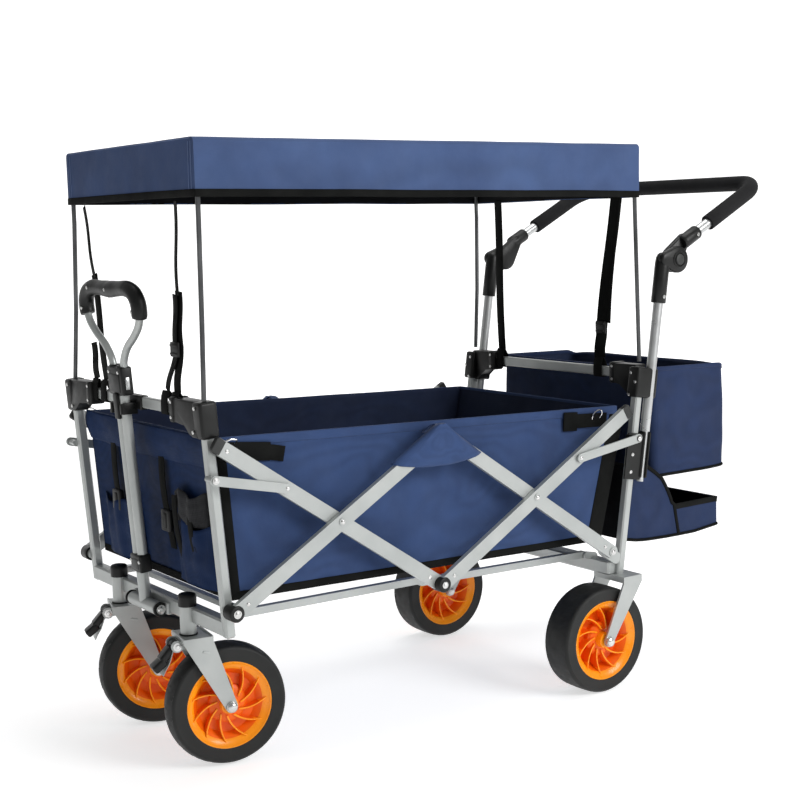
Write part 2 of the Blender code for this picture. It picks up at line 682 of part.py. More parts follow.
def build_pull_handle():
    swing = axis_empty("body_pull_handle", handle_point(0.0, 0.0), ROOT)
    slide = axis_empty("body_pull_slide", handle_point(0.0, 0.3510), swing)

    sleeve = cross_rod(PULL_PIVOT, -0.0480, 0.0480, 0.0110, 24)
    join(sleeve, handle_rod(0.0, 0.0, 0.0550, 0.0100, 24))
    cut(sleeve, cross_rod(PULL_PIVOT, -0.06, 0.06, 0.0043, 16))
    part("pull_yoke", sleeve, POWDER, swing)

    part("pull_lower_coupler", handle_box(0.036, 0.021, 0.0553, 0.0850, 0.003), BLACK, swing)

    shaft = handle_rod(-PULL_TUBE_Y, 0.0853, 0.3505, 0.0090)
    join(shaft, handle_rod(PULL_TUBE_Y, 0.0853, 0.3505, 0.0090))
    bores = [handle_rod(s * PULL_TUBE_Y, 0.1000, 0.3600, PULL_LEG + GAP, 16) for s in (-1, 1)]
    cut(shaft, *bores)
    part("pull_outer_tube", shaft, POWDER, swing)

    half = smooth_route([Vector(p) for p in LOOP_HALF], 2)
    leg = [Vector((PULL_TUBE_Y, h)) for h in (0.1100, 0.2000, 0.3000)]
    right = leg + half
    left = [Vector((-p.x, p.y)) for p in right]
    whole = [handle_point(p.x, p.y) for p in right[:-1] + left[::-1]]
    part("pull_loop", tube(whole, PULL_LEG, 2), ALLOY, slide)

    coupler = handle_box(0.054, 0.019, 0.3508, 0.3970, 0.003)
    part("pull_upper_coupler", cut(coupler, tube(whole, PULL_LEG + GAP, 2)), BLACK, slide)

    held = [p for p in half if p.y > 0.480]
    mirror = [Vector((-p.x, p.y)) for p in held]
    route = [handle_point(p.x, p.y) for p in held[:-1] + mirror[::-1]]
    grip = tube(route, 0.0115, 3)
    part("pull_grip", cut(grip, tube(whole, PULL_LEG + GAP, 2)), BLACK, slide)


# ---- push handle ---------------------------------------------------------------------------
def build_push_handle():
    tilt = axis_empty("body_push_handle", (PUSH_PIVOT[0], 0.0, PUSH_PIVOT[1]), REAR)
    lean = atan2(TUBE_TOP[1] - TUBE_FOOT[1], TUBE_TOP[0] - TUBE_FOOT[0])
    stub_end = step(TUBE_FOOT, lean, -0.0930)
    neck = step(TUBE_TOP, lean, 0.0500)
    for name, side in SIDES:
        y = side * TUBE_Y
        tube_rod = rod((TUBE_FOOT[0], y, TUBE_FOOT[1]), (TUBE_TOP[0], y, TUBE_TOP[1]), 0.0090, 24)
        join(tube_rod, rod((stub_end[0], y, stub_end[1]), (TUBE_FOOT[0], y, TUBE_FOOT[1] + 0.002),
                           0.0065, 16))
        part("push_tube_" + name, tube_rod, ALLOY, REAR)

        low = step(TUBE_FOOT, lean, -0.0860)
        high = step(TUBE_FOOT, lean, -0.0010)
        clamp = beam(low, high, side * 0.2505, 0.0190, 0.0180, edge=0.002)
        post_low = (low[0] - 0.0260, low[1])
        post_high = (high[0] - 0.0260, high[1])
        face = beam(post_low, post_high, side * 0.2549, 0.0400, 0.0032, edge=0.0005)
        stay_pin = pin_with_head(REAR_STAY, side, 0.2560, REAR_STAY_Y[1] + GAP, 0.0030, 0.0055, 0.0012)
        spacer = cross_rod(REAR_STAY, side * 0.2560, side * (REAR_STAY_Y[0] - GAP), 0.0048, 12)
        join(clamp, face, spacer, *stay_pin)
        bore = rod((stub_end[0], y, stub_end[1]), (TUBE_TOP[0], y, TUBE_TOP[1]), 0.0068, 16)
        slot = beam(step(low, lean, -0.02), step(high, lean, 0.02), side * 0.2600, 0.0110, 0.0180)
        cut(clamp, bore, slot)
        part("push_bracket_" + name, clamp, BLACK, REAR)

        build_push_joint(name, side, neck, tilt)

    build_push_bar(tilt)


def build_push_joint(name, side, neck, tilt):
    """The two halves of the click joint, and the button that releases it."""
    y = side * TUBE_Y
    top = (TUBE_TOP[0], TUBE_TOP[1] + GAP)
    sleeve = rod((top[0], y, top[1]), (neck[0], y, neck[1]), 0.0135, 24)
    web = plate(capsule(PUSH_PIVOT, neck, 0.0225, 0.0130, 12), *side_y(side, (0.2506, 0.2630)))
    pin = cross_rod(PUSH_PIVOT, side * 0.2400, side * 0.2520, 0.0040, 16)
    well = cross_rod(PUSH_PIVOT, side * 0.2570, side * 0.2700, 0.0083, 20)
    part("push_joint_lower_" + name, cut(join(sleeve, web, pin), well), BLACK, REAR)

    start = step(PUSH_SLEEVE, radians(31), -0.0330)
    upper = rod((start[0], y, start[1]), (PUSH_SLEEVE[0], y, PUSH_SLEEVE[1]), 0.0132, 24)
    web = plate(capsule(PUSH_PIVOT, start, 0.0220, 0.0120, 12), *side_y(side, (0.2375, 0.2500)))
    bore = cross_rod(PUSH_PIVOT, side * 0.2380, side * 0.2600, 0.0043, 16)
    part("push_joint_upper_" + name, cut(join(upper, web), bore), BLACK, tilt)

    press = axis_empty("body_push_button_" + name,
                       (PUSH_PIVOT[0], side * 0.2600, PUSH_PIVOT[1]), REAR)
    button = bevel(cross_rod(PUSH_PIVOT, side * 0.2605, side * 0.2665, 0.0079, 20), 0.001, 1)
    part("push_button_" + name, button, BLACK, press)


def build_push_bar(tilt):
    """The U-shaped bar between the two joints, and the foam over all but its ends."""
    start = step(PUSH_SLEEVE, PUSH_ANGLE, 0.0011)
    leg = (PUSH_BAR_X - start[0]) / cos(PUSH_ANGLE)
    bend = 0.045

    def at(distance, y):
        x, z = step(start, PUSH_ANGLE, distance)
        return (x, y, z)

    corner = [(leg - bend + px, TUBE_Y - bend + py)
              for py, px in arc((0.0, 0.0), bend, 0.0, pi / 2, 6)]
    half = [(0.0, TUBE_Y), (0.033, TUBE_Y), (0.09, TUBE_Y)] + corner + [(leg, 0.1)]
    whole = half + [(d, -y) for d, y in reversed(half)]
    bar = tube([at(d, y) for d, y in whole], 0.0095, 3)
    part("push_bar", bar, ALLOY, tilt)

    covered = whole[1:-1]
    foam = tube([at(d, y) for d, y in covered], 0.0145, 3)
    inside = tube([at(d, y) for d, y in whole], 0.0095 + GAP, 3)
    part("push_foam_grip", cut(foam, inside), FOAM, tilt)


# ---- canopy, tub, basket and tray ----------------------------------------------------------
def hoop(name, foot_x, head_x, foot_z, parent):
    """A canopy rod: up from one corner block, across under the roof and down to the other."""
    top = CANOPY_Z[1] - 0.0015 - POLE - 0.0012
    side = CANOPY_HALF - 0.0015 - POLE - 0.0005
    bow = 0.0030
    corner = [(side - 0.012 + a, top - 0.012 + b)
              for a, b in arc((0.0, 0.0), 0.012, 0.0, pi / 2, 4)]
    half = [(POST_Y - 0.001, foot_z), (side + 0.004, 0.72), (side, 0.87)] + corner
    whole = half + [(0.0, top)] + [(-y, z) for y, z in reversed(half)]
    points = []
    for y, z in whole:
        share = (z - foot_z) / (top - foot_z)
        points.append((foot_x + (head_x - foot_x) * share + bow * sin(pi * share), y, z))
    part(name, tube(points, POLE, 2), ROD, parent)


def open_shell(outer, inner):
    """A solid with an open hollow: both are closed shapes, the inner one breaks the surface."""
    return cut(outer, inner)


def prism(profile, half):
    return plate(profile, -half, half)


def build_canopy():
    hoop("front_canopy_hoop", -0.5810, -0.5725, 0.6035, ROOT)
    hoop("rear_canopy_hoop", 0.3120, 0.3095, 0.5975, REAR)
    skin = 0.0015
    outer = span((CANOPY_X[0], -CANOPY_HALF, CANOPY_Z[0]), (CANOPY_X[1], CANOPY_HALF, CANOPY_Z[1]))
    inner = span((CANOPY_X[0] + skin, -CANOPY_HALF + skin, CANOPY_Z[0] - 0.05),
                 (CANOPY_X[1] - skin, CANOPY_HALF - skin, CANOPY_Z[1] - skin))
    part("canopy", open_shell(outer, inner), FABRIC, ROOT)


def build_tub():
    """The fabric tub, a tapering trough, and the stiff board that lies in it."""
    wall = 0.003
    outer = prism([(-0.5620, 0.5450), (-0.5440, 0.2920), (0.2010, 0.2760), (0.2640, 0.5190)],
                  TUB_HALF)
    inner = prism([(-0.5620 + wall + 0.0036, 0.5950), (-0.5440 + wall, 0.2920 + wall),
                   (0.2010 - wall, 0.2760 + wall), (0.2640 - wall + 0.0130, 0.5690)],
                  TUB_HALF - wall)
    part("tub", open_shell(outer, inner), FABRIC, ROOT)
    floor = 0.2920 + wall + 0.0012
    drop = 0.2920 - 0.2760
    board = prism([(-0.5380, floor), (-0.5380, floor + 0.006), (0.1940, floor + 0.006 - drop),
                   (0.1940, floor - drop + 0.0002)], TUB_HALF - wall - 0.004)
    part("floor_board", board, BOARD, ROOT)


def build_basket():
    """The storage bag behind the rear frame, with its rear corners rounded."""
    front = 0.3680
    back = 0.5650
    low = 0.3680
    high = 0.5850
    wall = 0.0025

    def bag(x0, x1, z0, z1, half, edge):
        shape = span((x0, -half, z0), (x1, half, z1))
        return bevel(shape, edge, 3)

    outer = bag(front, back, low, high, BASKET_HALF, 0.012)
    inner = bag(front + wall, back - wall, low + wall, high + 0.05, BASKET_HALF - wall, 0.010)
    part("rear_basket", cut(outer, inner, span((front - 0.01, -0.3, high - 0.006),
                                               (back + 0.01, 0.3, high + 0.01))), FABRIC, REAR)


def build_tray():
    """The low tray behind the tub: its sides sweep down from the posts to a shallow box."""
    wall = 0.0025
    front = [(0.2790, 0.2660), (0.2975, 0.4060)]
    sweep = [(0.3264, 0.4050), (0.3429, 0.3960), (0.3793, 0.3700), (0.3941, 0.3460),
             (0.4063, 0.3200), (0.4120, 0.3160)]
    back = [(0.5240, 0.3172), (0.5285, 0.3110), (0.5290, 0.2620)]
    under = [(0.4614, 0.2555), (0.3489, 0.2570)]
    outer = prism(front + sweep + back + under, TRAY_HALF)
    hollow = prism([(0.2816, 0.2660 + wall), (0.3005, 0.4360), (0.5255, 0.4360),
                    (0.5262, 0.2620 + wall), (0.4614, 0.2555 + wall), (0.3489, 0.2570 + wall)],
                   TRAY_HALF - wall)
    part("tail_tray", open_shell(outer, hollow), FABRIC, REAR)


build_front_frame()
build_front_top()
build_rear_frame()
build_rear_top()
build_scissors()
build_stays()
build_rails()
build_wheels()
build_pull_handle()
build_push_handle()
build_canopy()
build_tub()
build_basket()
build_tray()
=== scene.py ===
"""Visual model of the folding pull wagon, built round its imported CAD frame. Lengths are metres."""
from math import atan2, cos, hypot, pi, radians, sin

import bmesh
import bpy
from mathutils import Matrix, Vector, noise


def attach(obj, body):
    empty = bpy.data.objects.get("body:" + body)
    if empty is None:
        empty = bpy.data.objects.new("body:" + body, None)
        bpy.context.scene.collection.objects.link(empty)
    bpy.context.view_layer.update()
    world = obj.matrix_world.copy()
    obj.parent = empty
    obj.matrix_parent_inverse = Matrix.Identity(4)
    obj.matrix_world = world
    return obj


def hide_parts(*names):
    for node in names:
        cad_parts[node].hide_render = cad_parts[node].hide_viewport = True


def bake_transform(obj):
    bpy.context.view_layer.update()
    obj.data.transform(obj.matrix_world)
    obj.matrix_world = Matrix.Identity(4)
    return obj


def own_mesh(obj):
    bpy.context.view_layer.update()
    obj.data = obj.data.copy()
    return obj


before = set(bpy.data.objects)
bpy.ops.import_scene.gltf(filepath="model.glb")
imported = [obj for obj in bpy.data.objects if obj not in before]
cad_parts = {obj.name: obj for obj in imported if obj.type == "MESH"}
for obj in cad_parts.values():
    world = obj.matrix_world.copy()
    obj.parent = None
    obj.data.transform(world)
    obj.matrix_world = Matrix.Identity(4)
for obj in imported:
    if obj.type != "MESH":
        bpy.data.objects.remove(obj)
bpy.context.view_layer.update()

SIDES = (("left", -1), ("right", 1))
FRONT, REAR = "front_end", "rear_end"          # the bodies that most pieces ride on
X, Y, Z = Vector((1, 0, 0)), Vector((0, 1, 0)), Vector((0, 0, 1))
scene = bpy.context.scene

# ---- camera: the photograph's point of view ----
EYE = Vector((-1.5682, -2.169, 0.8541))
AZIMUTH, ELEVATION, ROLL = radians(-34.8895), radians(6.8188), radians(-1.3882)
LENS, SENSOR = 1451.83 / 800 * 36.0, 36.0      # millimetres

back = Vector((sin(AZIMUTH) * cos(ELEVATION), -cos(AZIMUTH) * cos(ELEVATION), sin(ELEVATION)))
level = (-back).cross(Z).normalized()
rise = level.cross(-back)
right = level * cos(ROLL) + rise * sin(ROLL)
up = rise * cos(ROLL) - level * sin(ROLL)
camera = bpy.data.objects.new("camera", bpy.data.cameras.new("camera"))
camera.data.sensor_width, camera.data.lens, camera.data.clip_start = SENSOR, LENS, 0.05
camera.matrix_world = Matrix([(right[i], up[i], back[i], EYE[i]) for i in range(3)] + [(0, 0, 0, 1)])
scene.collection.objects.link(camera)
scene.camera = camera


# ---- materials ----
class Shader:
    """A Principled material whose inputs are filled from small node chains."""

    def __init__(self, name, colour, roughness, metallic=0.0, **sockets):
        self.material = bpy.data.materials.new(name)
        self.material.use_nodes = True
        self.material.diffuse_color = (*colour, 1.0)
        self.tree = self.material.node_tree
        self.bsdf = self.tree.nodes["Principled BSDF"]
        sockets.update(Base_Color=(*colour, 1.0), Roughness=roughness, Metallic=metallic)
        for socket, value in sockets.items():
            self.fill(self.bsdf, socket.replace("_", " "), value)
        self.place = self.node("ShaderNodeTexCoord").outputs["Object"]

    def fill(self, node, key, value):
        if isinstance(value, bpy.types.NodeSocket):
            self.tree.links.new(value, node.inputs[key])
        else:
            node.inputs[key].default_value = value

    def node(self, kind, inputs=(), **settings):
        made = self.tree.nodes.new(kind)
        for key, value in settings.items():
            setattr(made, key, value)
        for key, value in dict(inputs).items():
            self.fill(made, key, value)
        return made

    def noise(self, scale, detail=3.0, rough=0.55):
        return self.node("ShaderNodeTexNoise", {
            "Scale": scale, "Detail": detail, "Roughness": rough, "Vector": self.place}).outputs["Fac"]

    def ramp(self, value, *stops):
        made = self.node("ShaderNodeValToRGB", {"Fac": value})
        for element, (spot, colour) in zip(made.color_ramp.elements, stops):
            element.position = spot
            element.color = (*colour, 1.0)
        return made.outputs["Color"]

    def vary(self, roughness, less, more, scale, detail):
        """The roughness wanders a little to both sides of its value."""
        wander = self.node("ShaderNodeMapRange", {
            "Value": self.noise(scale, detail), "From Min": 0.25, "From Max": 0.75,
            "To Min": roughness - less, "To Max": roughness + more})
        self.fill(self.bsdf, "Roughness", wander.outputs["Result"])

    def weave(self, pitch):
        """Threads a pitch apart along each axis: on any flat face two of them cross."""
        total = 0.0
        for direction in "XYZ":
            bands = self.node("ShaderNodeTexWave", {"Scale": pi / 10 / pitch, "Vector": self.place},
                              wave_type="BANDS", bands_direction=direction)
            total = self.node("ShaderNodeMath", {0: total, 1: bands.outputs["Fac"]},
                              operation="ADD").outputs[0]
        return self.node("ShaderNodeMath", {0: total, 1: 0.3333}, operation="MULTIPLY").outputs[0]

    def bump(self, height, strength, distance, under=None):
        made = self.node("ShaderNodeBump", {"Strength": strength, "Distance": distance, "Height": height})
        if under:
            self.fill(made, "Normal", under)
        self.fill(self.bsdf, "Normal", made.outputs["Normal"])
        return made.outputs["Normal"]

    def kept(self):
        return self.material


def painted(name, low, high, roughness, metallic):
    made = Shader(name, high, roughness, metallic, Coat_Weight=0.12, Coat_Roughness=0.35)
    made.fill(made.bsdf, "Base Color", made.ramp(made.noise(14, 4), (0.3, low), (0.7, high)))
    made.vary(roughness, 0.07, 0.09, 38, 5)
    made.bump(made.noise(1300, 2), 0.1, 0.0003)
    return made.kept()


def moulded(name, slot, low, high, roughness, grain, strength, specular, **sockets):
    made = Shader(name, high, roughness, Specular_IOR_Level=specular, **sockets)
    made.fill(made.bsdf, "Base Color", made.ramp(made.noise(30, 4), (0.3, low), (0.72, high)))
    made.vary(roughness, 0.08, 0.1, 60, 4)
    made.bump(made.noise(grain, 3), strength, 0.0004)
    return made.kept()


def woven(name, dark, light, strength=0.3, sheen=0.08, pitch=0.0011, roughness=0.82):
    made = Shader(name, light, roughness, Sheen_Weight=sheen, Sheen_Roughness=0.45,
                  Specular_IOR_Level=0.25 if sheen else 0.1)
    tone = made.ramp(made.noise(7.5, 5, 0.6), (0.34, dark), (0.66, light))
    threads = made.weave(pitch)
    thread_tone = made.ramp(threads, (0.25, (0.72, 0.72, 0.72)), (0.7, (1.0, 1.0, 1.0)))
    made.fill(made.bsdf, "Base Color", made.node("ShaderNodeMixRGB", {
        "Fac": 0.75, "Color1": tone, "Color2": thread_tone}, blend_type="MULTIPLY").outputs["Color"])
    made.vary(roughness, 0.1, 0.08, 26, 4)
    made.bump(threads, strength, 0.0005, made.bump(made.noise(34, 4), 0.22, 0.0025))
    return made.kept()


GREY = painted("grey_powder", (0.375, 0.395, 0.388), (0.445, 0.463, 0.452), 0.36, 0.4)
ALLOY = painted("silver_alloy", (0.5, 0.51, 0.51), (0.6, 0.61, 0.61), 0.3, 0.85)
DARK_ROD = painted("dark_rod", (0.07, 0.072, 0.075), (0.16, 0.165, 0.17), 0.33, 0.75)
CHROME = painted("chrome_wire", (0.72, 0.72, 0.73), (0.8, 0.8, 0.81), 0.15, 1.0)
ZINC = painted("zinc_screw", (0.55, 0.55, 0.54), (0.74, 0.74, 0.73), 0.27, 1.0)
BLACK = moulded("black_plastic", "black_plastic", (0.0035, 0.0038, 0.0037),
                (0.0075, 0.008, 0.0076), 0.4, 900, 0.12, 0.32)
DARK_GREY = moulded("grey_plastic", "black_plastic", (0.02, 0.021, 0.021),
                    (0.036, 0.038, 0.037), 0.45, 900, 0.12, 0.35)
FOAM = moulded("black_foam", "foam", (0.005, 0.005, 0.0055), (0.012, 0.012, 0.013), 0.86, 1500, 0.55, 0.3)
RUBBER = moulded("tyre_rubber", "tyre", (0.0065, 0.007, 0.0066), (0.014, 0.0145, 0.014),
                 0.55, 520, 0.25, 0.35)
# a darker orange for the rim's recessed web and hub: painted shade in the recesses, partly the moulding's
# own deeper tone
ORANGE_DEEP_AND_SHADED = moulded("orange_recess_tone_and_shade", "orange_rim", (0.8, 0.115, 0.0015), (0.9, 0.15, 0.002),
                      0.35, 420, 0.05, 0.3)
ORANGE = moulded("orange_rim", "orange_rim", (0.97, 0.29, 0.004), (1.0, 0.35, 0.006),
                 0.3, 420, 0.05, 0.3, Coat_Weight=0.25, Coat_Roughness=0.12)
NAVY = woven("navy_polyester", (0.044, 0.076, 0.178), (0.06, 0.102, 0.228), sheen=0.1)
NAVY_TUB = woven("navy_side", (0.025, 0.051, 0.137), (0.035, 0.069, 0.178))
NAVY_BAG = woven("navy_bag", (0.0115, 0.024, 0.072), (0.016, 0.0325, 0.094))
# a darker copy of the navy cloth for the tub's front end, cuff and pockets: painted shade on the same
# fabric
NAVY_FRONT_SHADE = woven("navy_front_painted_shade", (0.005, 0.016, 0.055), (0.009, 0.026, 0.086), sheen=0.0, roughness=0.66)
NAVY_PALE = woven("pale_stitch", (0.075, 0.115, 0.23), (0.115, 0.165, 0.31), 0.2, 0.1)
NAVY_DARK = woven("navy_lining", (0.009, 0.016, 0.045), (0.015, 0.026, 0.066), 0.25, 0.05)
LINING = woven("black_lining", (0.003, 0.0035, 0.0045), (0.005, 0.0055, 0.007), 0.2, 0.0)
WEBBING = woven("black_webbing", (0.004, 0.0044, 0.0042), (0.009, 0.0095, 0.009), 0.55, 0.0, 0.0019)
MESH_NET = woven("black_net", (0.004, 0.004, 0.005), (0.02, 0.021, 0.024), 0.9, 0.05, 0.003)


# ---- points in the wagon's side plane (x, z) and on curves ----
def step(point, angle, reach):
    return (point[0] + reach * cos(angle), point[1] + reach * sin(angle))


def along(a, b, share):
    return tuple(p + (q - p) * share for p, q in zip(a, b))


def angle_of(a, b):
    return atan2(b[1] - a[1], b[0] - a[0])


def toward(a, b, reach):
    """The point a set distance along the line from a to b."""
    return along(a, b, reach / hypot(b[0] - a[0], b[1] - a[1]))


def at_y(point, y):
    return (point[0], y, point[1])


def pivot_y(angle):
    """Turns about Y so that positive lifts +X."""
    return Matrix.Rotation(-angle, 3, "Y")


def shares(count):
    """Even steps from 0 to 1, both ends included."""
    return [i / count for i in range(count + 1)]


def bridge(a, b, count):
    """Rows of points from each point of one edge to the matching point of another."""
    return [[p.lerp(q, t) for t in shares(count)] for p, q in zip(a, b)]


def ripple(point, scale, seed):
    """A smooth random value from -1 to 1."""
    return noise.noise(Vector(point) * scale + Vector((seed, seed * 1.7, -seed)))


def circle(radius, sides, squash=1.0):
    return [(radius * cos(2 * pi * i / sides), radius * squash * sin(2 * pi * i / sides))
            for i in range(sides)]


def tape(width, thickness):
    """The section of a flat strip with its corners cut."""
    w, t = width / 2, thickness / 2
    e = min(w, t) * 0.6
    return [(w, -t + e), (w, t - e), (w - e, t), (-w + e, t), (-w, t - e), (-w, -t + e),
            (-w + e, -t), (w - e, -t)]


# ---- shapes added to a mesh ----
def close_rings(bm, rings, loop=False):
    """Faces between rings with as many corners each, capped unless they close on themselves."""
    for a, b in list(zip(rings, rings[1:])) + [(rings[-1], rings[0])] * loop:
        for j in range(len(a)):
            k = (j + 1) % len(a)
            bm.faces.new((a[j], a[k], b[k], b[j]))
    if not loop:
        bm.faces.new(rings[0][::-1])
        bm.faces.new(rings[-1])


def sweep(bm, points, section, side=None, sizes=None, loop=False):
    """A bar that follows the points; side fixes which way its section's first axis looks."""
    route = [Vector(p) for p in points]
    rings, across = [], None
    for i, spot in enumerate(route):
        before = route[i - 1] if i or loop else spot
        after = route[(i + 1) % len(route)] if i < len(route) - 1 or loop else spot
        heading = (after - before).normalized()
        if side is not None:
            across = Vector(side)
        elif across is None:
            across = Z if abs(heading.z) < 0.9 else X
        across = (across - heading * across.dot(heading)).normalized()
        over = heading.cross(across)
        size = sizes[i] if sizes else 1.0
        rings.append([bm.verts.new(spot + (across * x + over * y) * size) for x, y in section])
    close_rings(bm, rings, loop)


def lathe(bm, profile, steps, start=(0, 0, 0), axis=(0, 0, 1), ring=False):
    """A turned shape: profile is (radius, height along the axis); a ring closes on itself."""
    place = Vector(axis).to_track_quat("Z", "Y").to_matrix().to_4x4()
    place.translation = Vector(start)
    rows = [[bm.verts.new(place @ Vector((x, y, height))) for x, y in circle(radius, steps)]
            if radius > 1e-6 else [bm.verts.new(place @ Vector((0, 0, height)))]
            for radius, height in profile]
    for a, b in list(zip(rows, rows[1:])) + [(rows[-1], rows[0])] * ring:
        for i in range(steps):
            j = (i + 1) % steps
            corners = dict.fromkeys((a[i % len(a)], a[j % len(a)], b[j % len(b)], b[i % len(b)]))
            if len(corners) > 2:
                bm.faces.new(list(corners))
    return rows


def screw(bm, point, axis, radius, height):
    """A pan-head screw with a sunk middle."""
    lathe(bm, [(0, -0.0004), (radius, -0.0004), (radius, height * 0.5), (radius * 0.8, height),
               (radius * 0.36, height), (radius * 0.26, height * 0.45), (0, height * 0.4)], 18, point, axis)


def rivet(bm, spot, y, side, radius, height):
    """A low domed head on a face of the side plane."""
    lathe(bm, [(0, -0.0003), (radius * 0.96, -0.0003), (radius, height * 0.25),
               (radius * 0.86, height * 0.68), (radius * 0.55, height * 0.93), (0, height)],
          20, at_y(spot, side * y), (0, side, 0))


def bolt_head(bm, spot, y, side, radius, height):
    """A domed bolt on a thin washer, on a face of the side plane."""
    lathe(bm, [(0, -0.0004), (radius * 1.35, -0.0004), (radius * 1.35, 0.0006), (radius, 0.0008),
               (radius * 0.97, height * 0.55), (radius * 0.75, height * 0.85), (radius * 0.42, height),
               (0, height * 0.98)], 22, at_y(spot, side * y), (0, side, 0))


def hub_cap(bm, spot, y, side, radius, height):
    """A moulded end cap round a pivot of the side plane, with a sunk middle for the bolt."""
    lathe(bm, [(0, 0), (radius, 0), (radius, height - 0.0022), (radius - 0.0008, height - 0.0009),
               (radius - 0.0022, height - 0.0002), (radius - 0.0045, height), (0, height)],
          32, at_y(spot, side * y), (0, side, 0))


def block(bm, size, centre, edge, segments=2, turn=Matrix.Identity(3)):
    """A box with rounded edges."""
    made = bmesh.ops.create_cube(bm, size=1.0)["verts"]
    bmesh.ops.scale(bm, vec=Vector(size), verts=made)
    edges = list({e for v in made for e in v.link_edges})
    rounded = bmesh.ops.bevel(bm, geom=edges, offset=edge, segments=segments, affect="EDGES",
                              profile=0.5)["faces"]
    for v in {v for f in rounded for v in f.verts} | {v for v in made if v.is_valid}:
        v.co = turn @ v.co + Vector(centre)


def slab(bm, outline, x0, x1, edge):
    """A plate with rounded edges between two x planes; its outline is in y and z."""
    rings = [[bm.verts.new((x, y, z)) for y, z in outline] for x in (x0, x1)]
    close_rings(bm, rings)
    edges = list({e for ring in rings for v in ring for e in v.link_edges})
    bmesh.ops.bevel(bm, geom=edges, offset=edge, segments=3, affect="EDGES", profile=0.5)


def hull_plate(bm, a, ra, b, rb, y0, y1, edge):
    """A plate round two circles in the side plane, with rounded rims."""
    base = angle_of(a, b)
    lean = (rb - ra) / hypot(b[0] - a[0], b[1] - a[1])
    rings = []
    for depth, inset in ((0, 1), (0.12, 0.25), (0.25, 0), (0.75, 0), (0.88, 0.25), (1, 1)):
        shrink, y = edge * inset, y0 + (y1 - y0) * depth
        outline = [step(a, base + pi / 2 + lean + (pi - 2 * lean) * t, ra - shrink) for t in shares(18)]
        outline += [step(b, base - pi / 2 - lean + (pi + 2 * lean) * t, rb - shrink) for t in shares(26)]
        rings.append([bm.verts.new((x, y, z)) for x, z in outline])
    close_rings(bm, rings)


# ---- finished pieces ----
CANOPY_FOLD, TUB_FOLD = (-0.5795, 0.112), (-0.562, 0.13)   # the x that stays, the depth kept


def gather(obj):
    """Gives the piece a mesh of its own."""
    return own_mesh(obj)


def finish(name, bm, mat, body, degrees=38, replaces=None, fold=None):
    """A finished piece from a mesh, riding on a CAD body."""
    mesh = bpy.data.meshes.new(name)
    bm.to_mesh(mesh)
    bm.free()
    obj = bpy.data.objects.new(name, mesh)
    scene.collection.objects.link(obj)
    mesh.materials.append(mat)
    mesh.shade_smooth()
    mesh.set_sharp_from_angle(angle=radians(degrees))
    if body:
        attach(obj, body)
    if replaces:
        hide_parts(replaces)
    if fold:
        gather(obj)
    return obj


def piece(name, mat, body, *shapes, **options):
    """A finished piece from shapes: each is a function above and what it takes after the mesh."""
    bm = bmesh.new()
    for draw, *values in shapes:
        draw(bm, *values)
    bmesh.ops.recalc_face_normals(bm, faces=bm.faces)
    return finish(name, bm, mat, body, **options)


def cloth(name, grids, mat, body, thickness, centre, closed=False, inside=None, replaces=None):
    """A sheet from grids of points sewn together, thickened inwards; closed joins the first's ends."""
    bm = bmesh.new()
    for grid in grids:
        made = [[bm.verts.new(p) for p in row] for row in grid]
        for a, b in zip(made, made[1:]):
            for i in range(len(a) if closed and grid is grids[0] else len(a) - 1):
                j = (i + 1) % len(a)
                bm.faces.new((a[i], a[j], b[j], b[i]))
    bmesh.ops.remove_doubles(bm, verts=bm.verts, dist=0.00005)
    bmesh.ops.recalc_face_normals(bm, faces=bm.faces)
    middle = Vector(centre)
    if sum(f.normal.dot(f.calc_center_median() - middle) * f.calc_area() for f in bm.faces) < 0:
        bmesh.ops.reverse_faces(bm, faces=bm.faces)
    obj = finish(name, bm, mat, body, 60, replaces)
    skin = obj.modifiers.new("skin", "SOLIDIFY")
    skin.thickness, skin.offset = thickness, -1.0
    if inside:
        obj.data.materials.append(inside)
        skin.material_offset = 1
    return obj


def paint_front_shade(obj, mat):
    """Gives the sheet's front end a darker copy of its cloth: painted shade on the faces turned to the
    front.
    """
    obj.data.materials.append(mat)
    for face in obj.data.polygons:
        if face.normal.x < -0.9:
            face.material_index = len(obj.data.materials) - 1


# ---- the frame's own parts get their finishes ----
FINISHES = (
    (GREY, ("front_frame", "rear_frame", "front_upper_bar", "rear_upper_bar", "pull_yoke",
            "pull_outer_tube", "pull_loop", "scissor", "front_stay", "rear_stay", "front_floor_rail",
            "rear_floor_rail", "caster_fork")),
    (ALLOY, ("push_bar", "push_tube")), (FOAM, ("push_foam_grip",)),
    (DARK_ROD, ("front_canopy_hoop", "rear_canopy_hoop")), (RUBBER, ("front_tyre", "rear_tyre")),
    (ORANGE, ("front_rim", "rear_rim")),
    (NAVY, ("canopy", "tub", "rear_basket", "tail_tray", "floor_board")))
for name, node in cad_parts.items():
    mat = next((mat for mat, starts in FINISHES if name.startswith(starts)), BLACK)
    for slot in node.material_slots:
        slot.material = mat
    if not node.material_slots:
        node.data.materials.append(mat)


def soften(starts, width, segments):
    """Rounded edges on the frame's own parts."""
    for name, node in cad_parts.items():
        if name.startswith(starts):
            bevel = node.modifiers.new("edge", "BEVEL")
            bevel.width, bevel.segments = width, segments
            bevel.limit_method, bevel.angle_limit = "ANGLE", radians(40)
            bevel.harden_normals = False


soften(("scissor", "front_stay", "rear_stay"), 0.0018, 3)
soften(("front_frame", "rear_frame", "caster_fork"), 0.0011, 2)


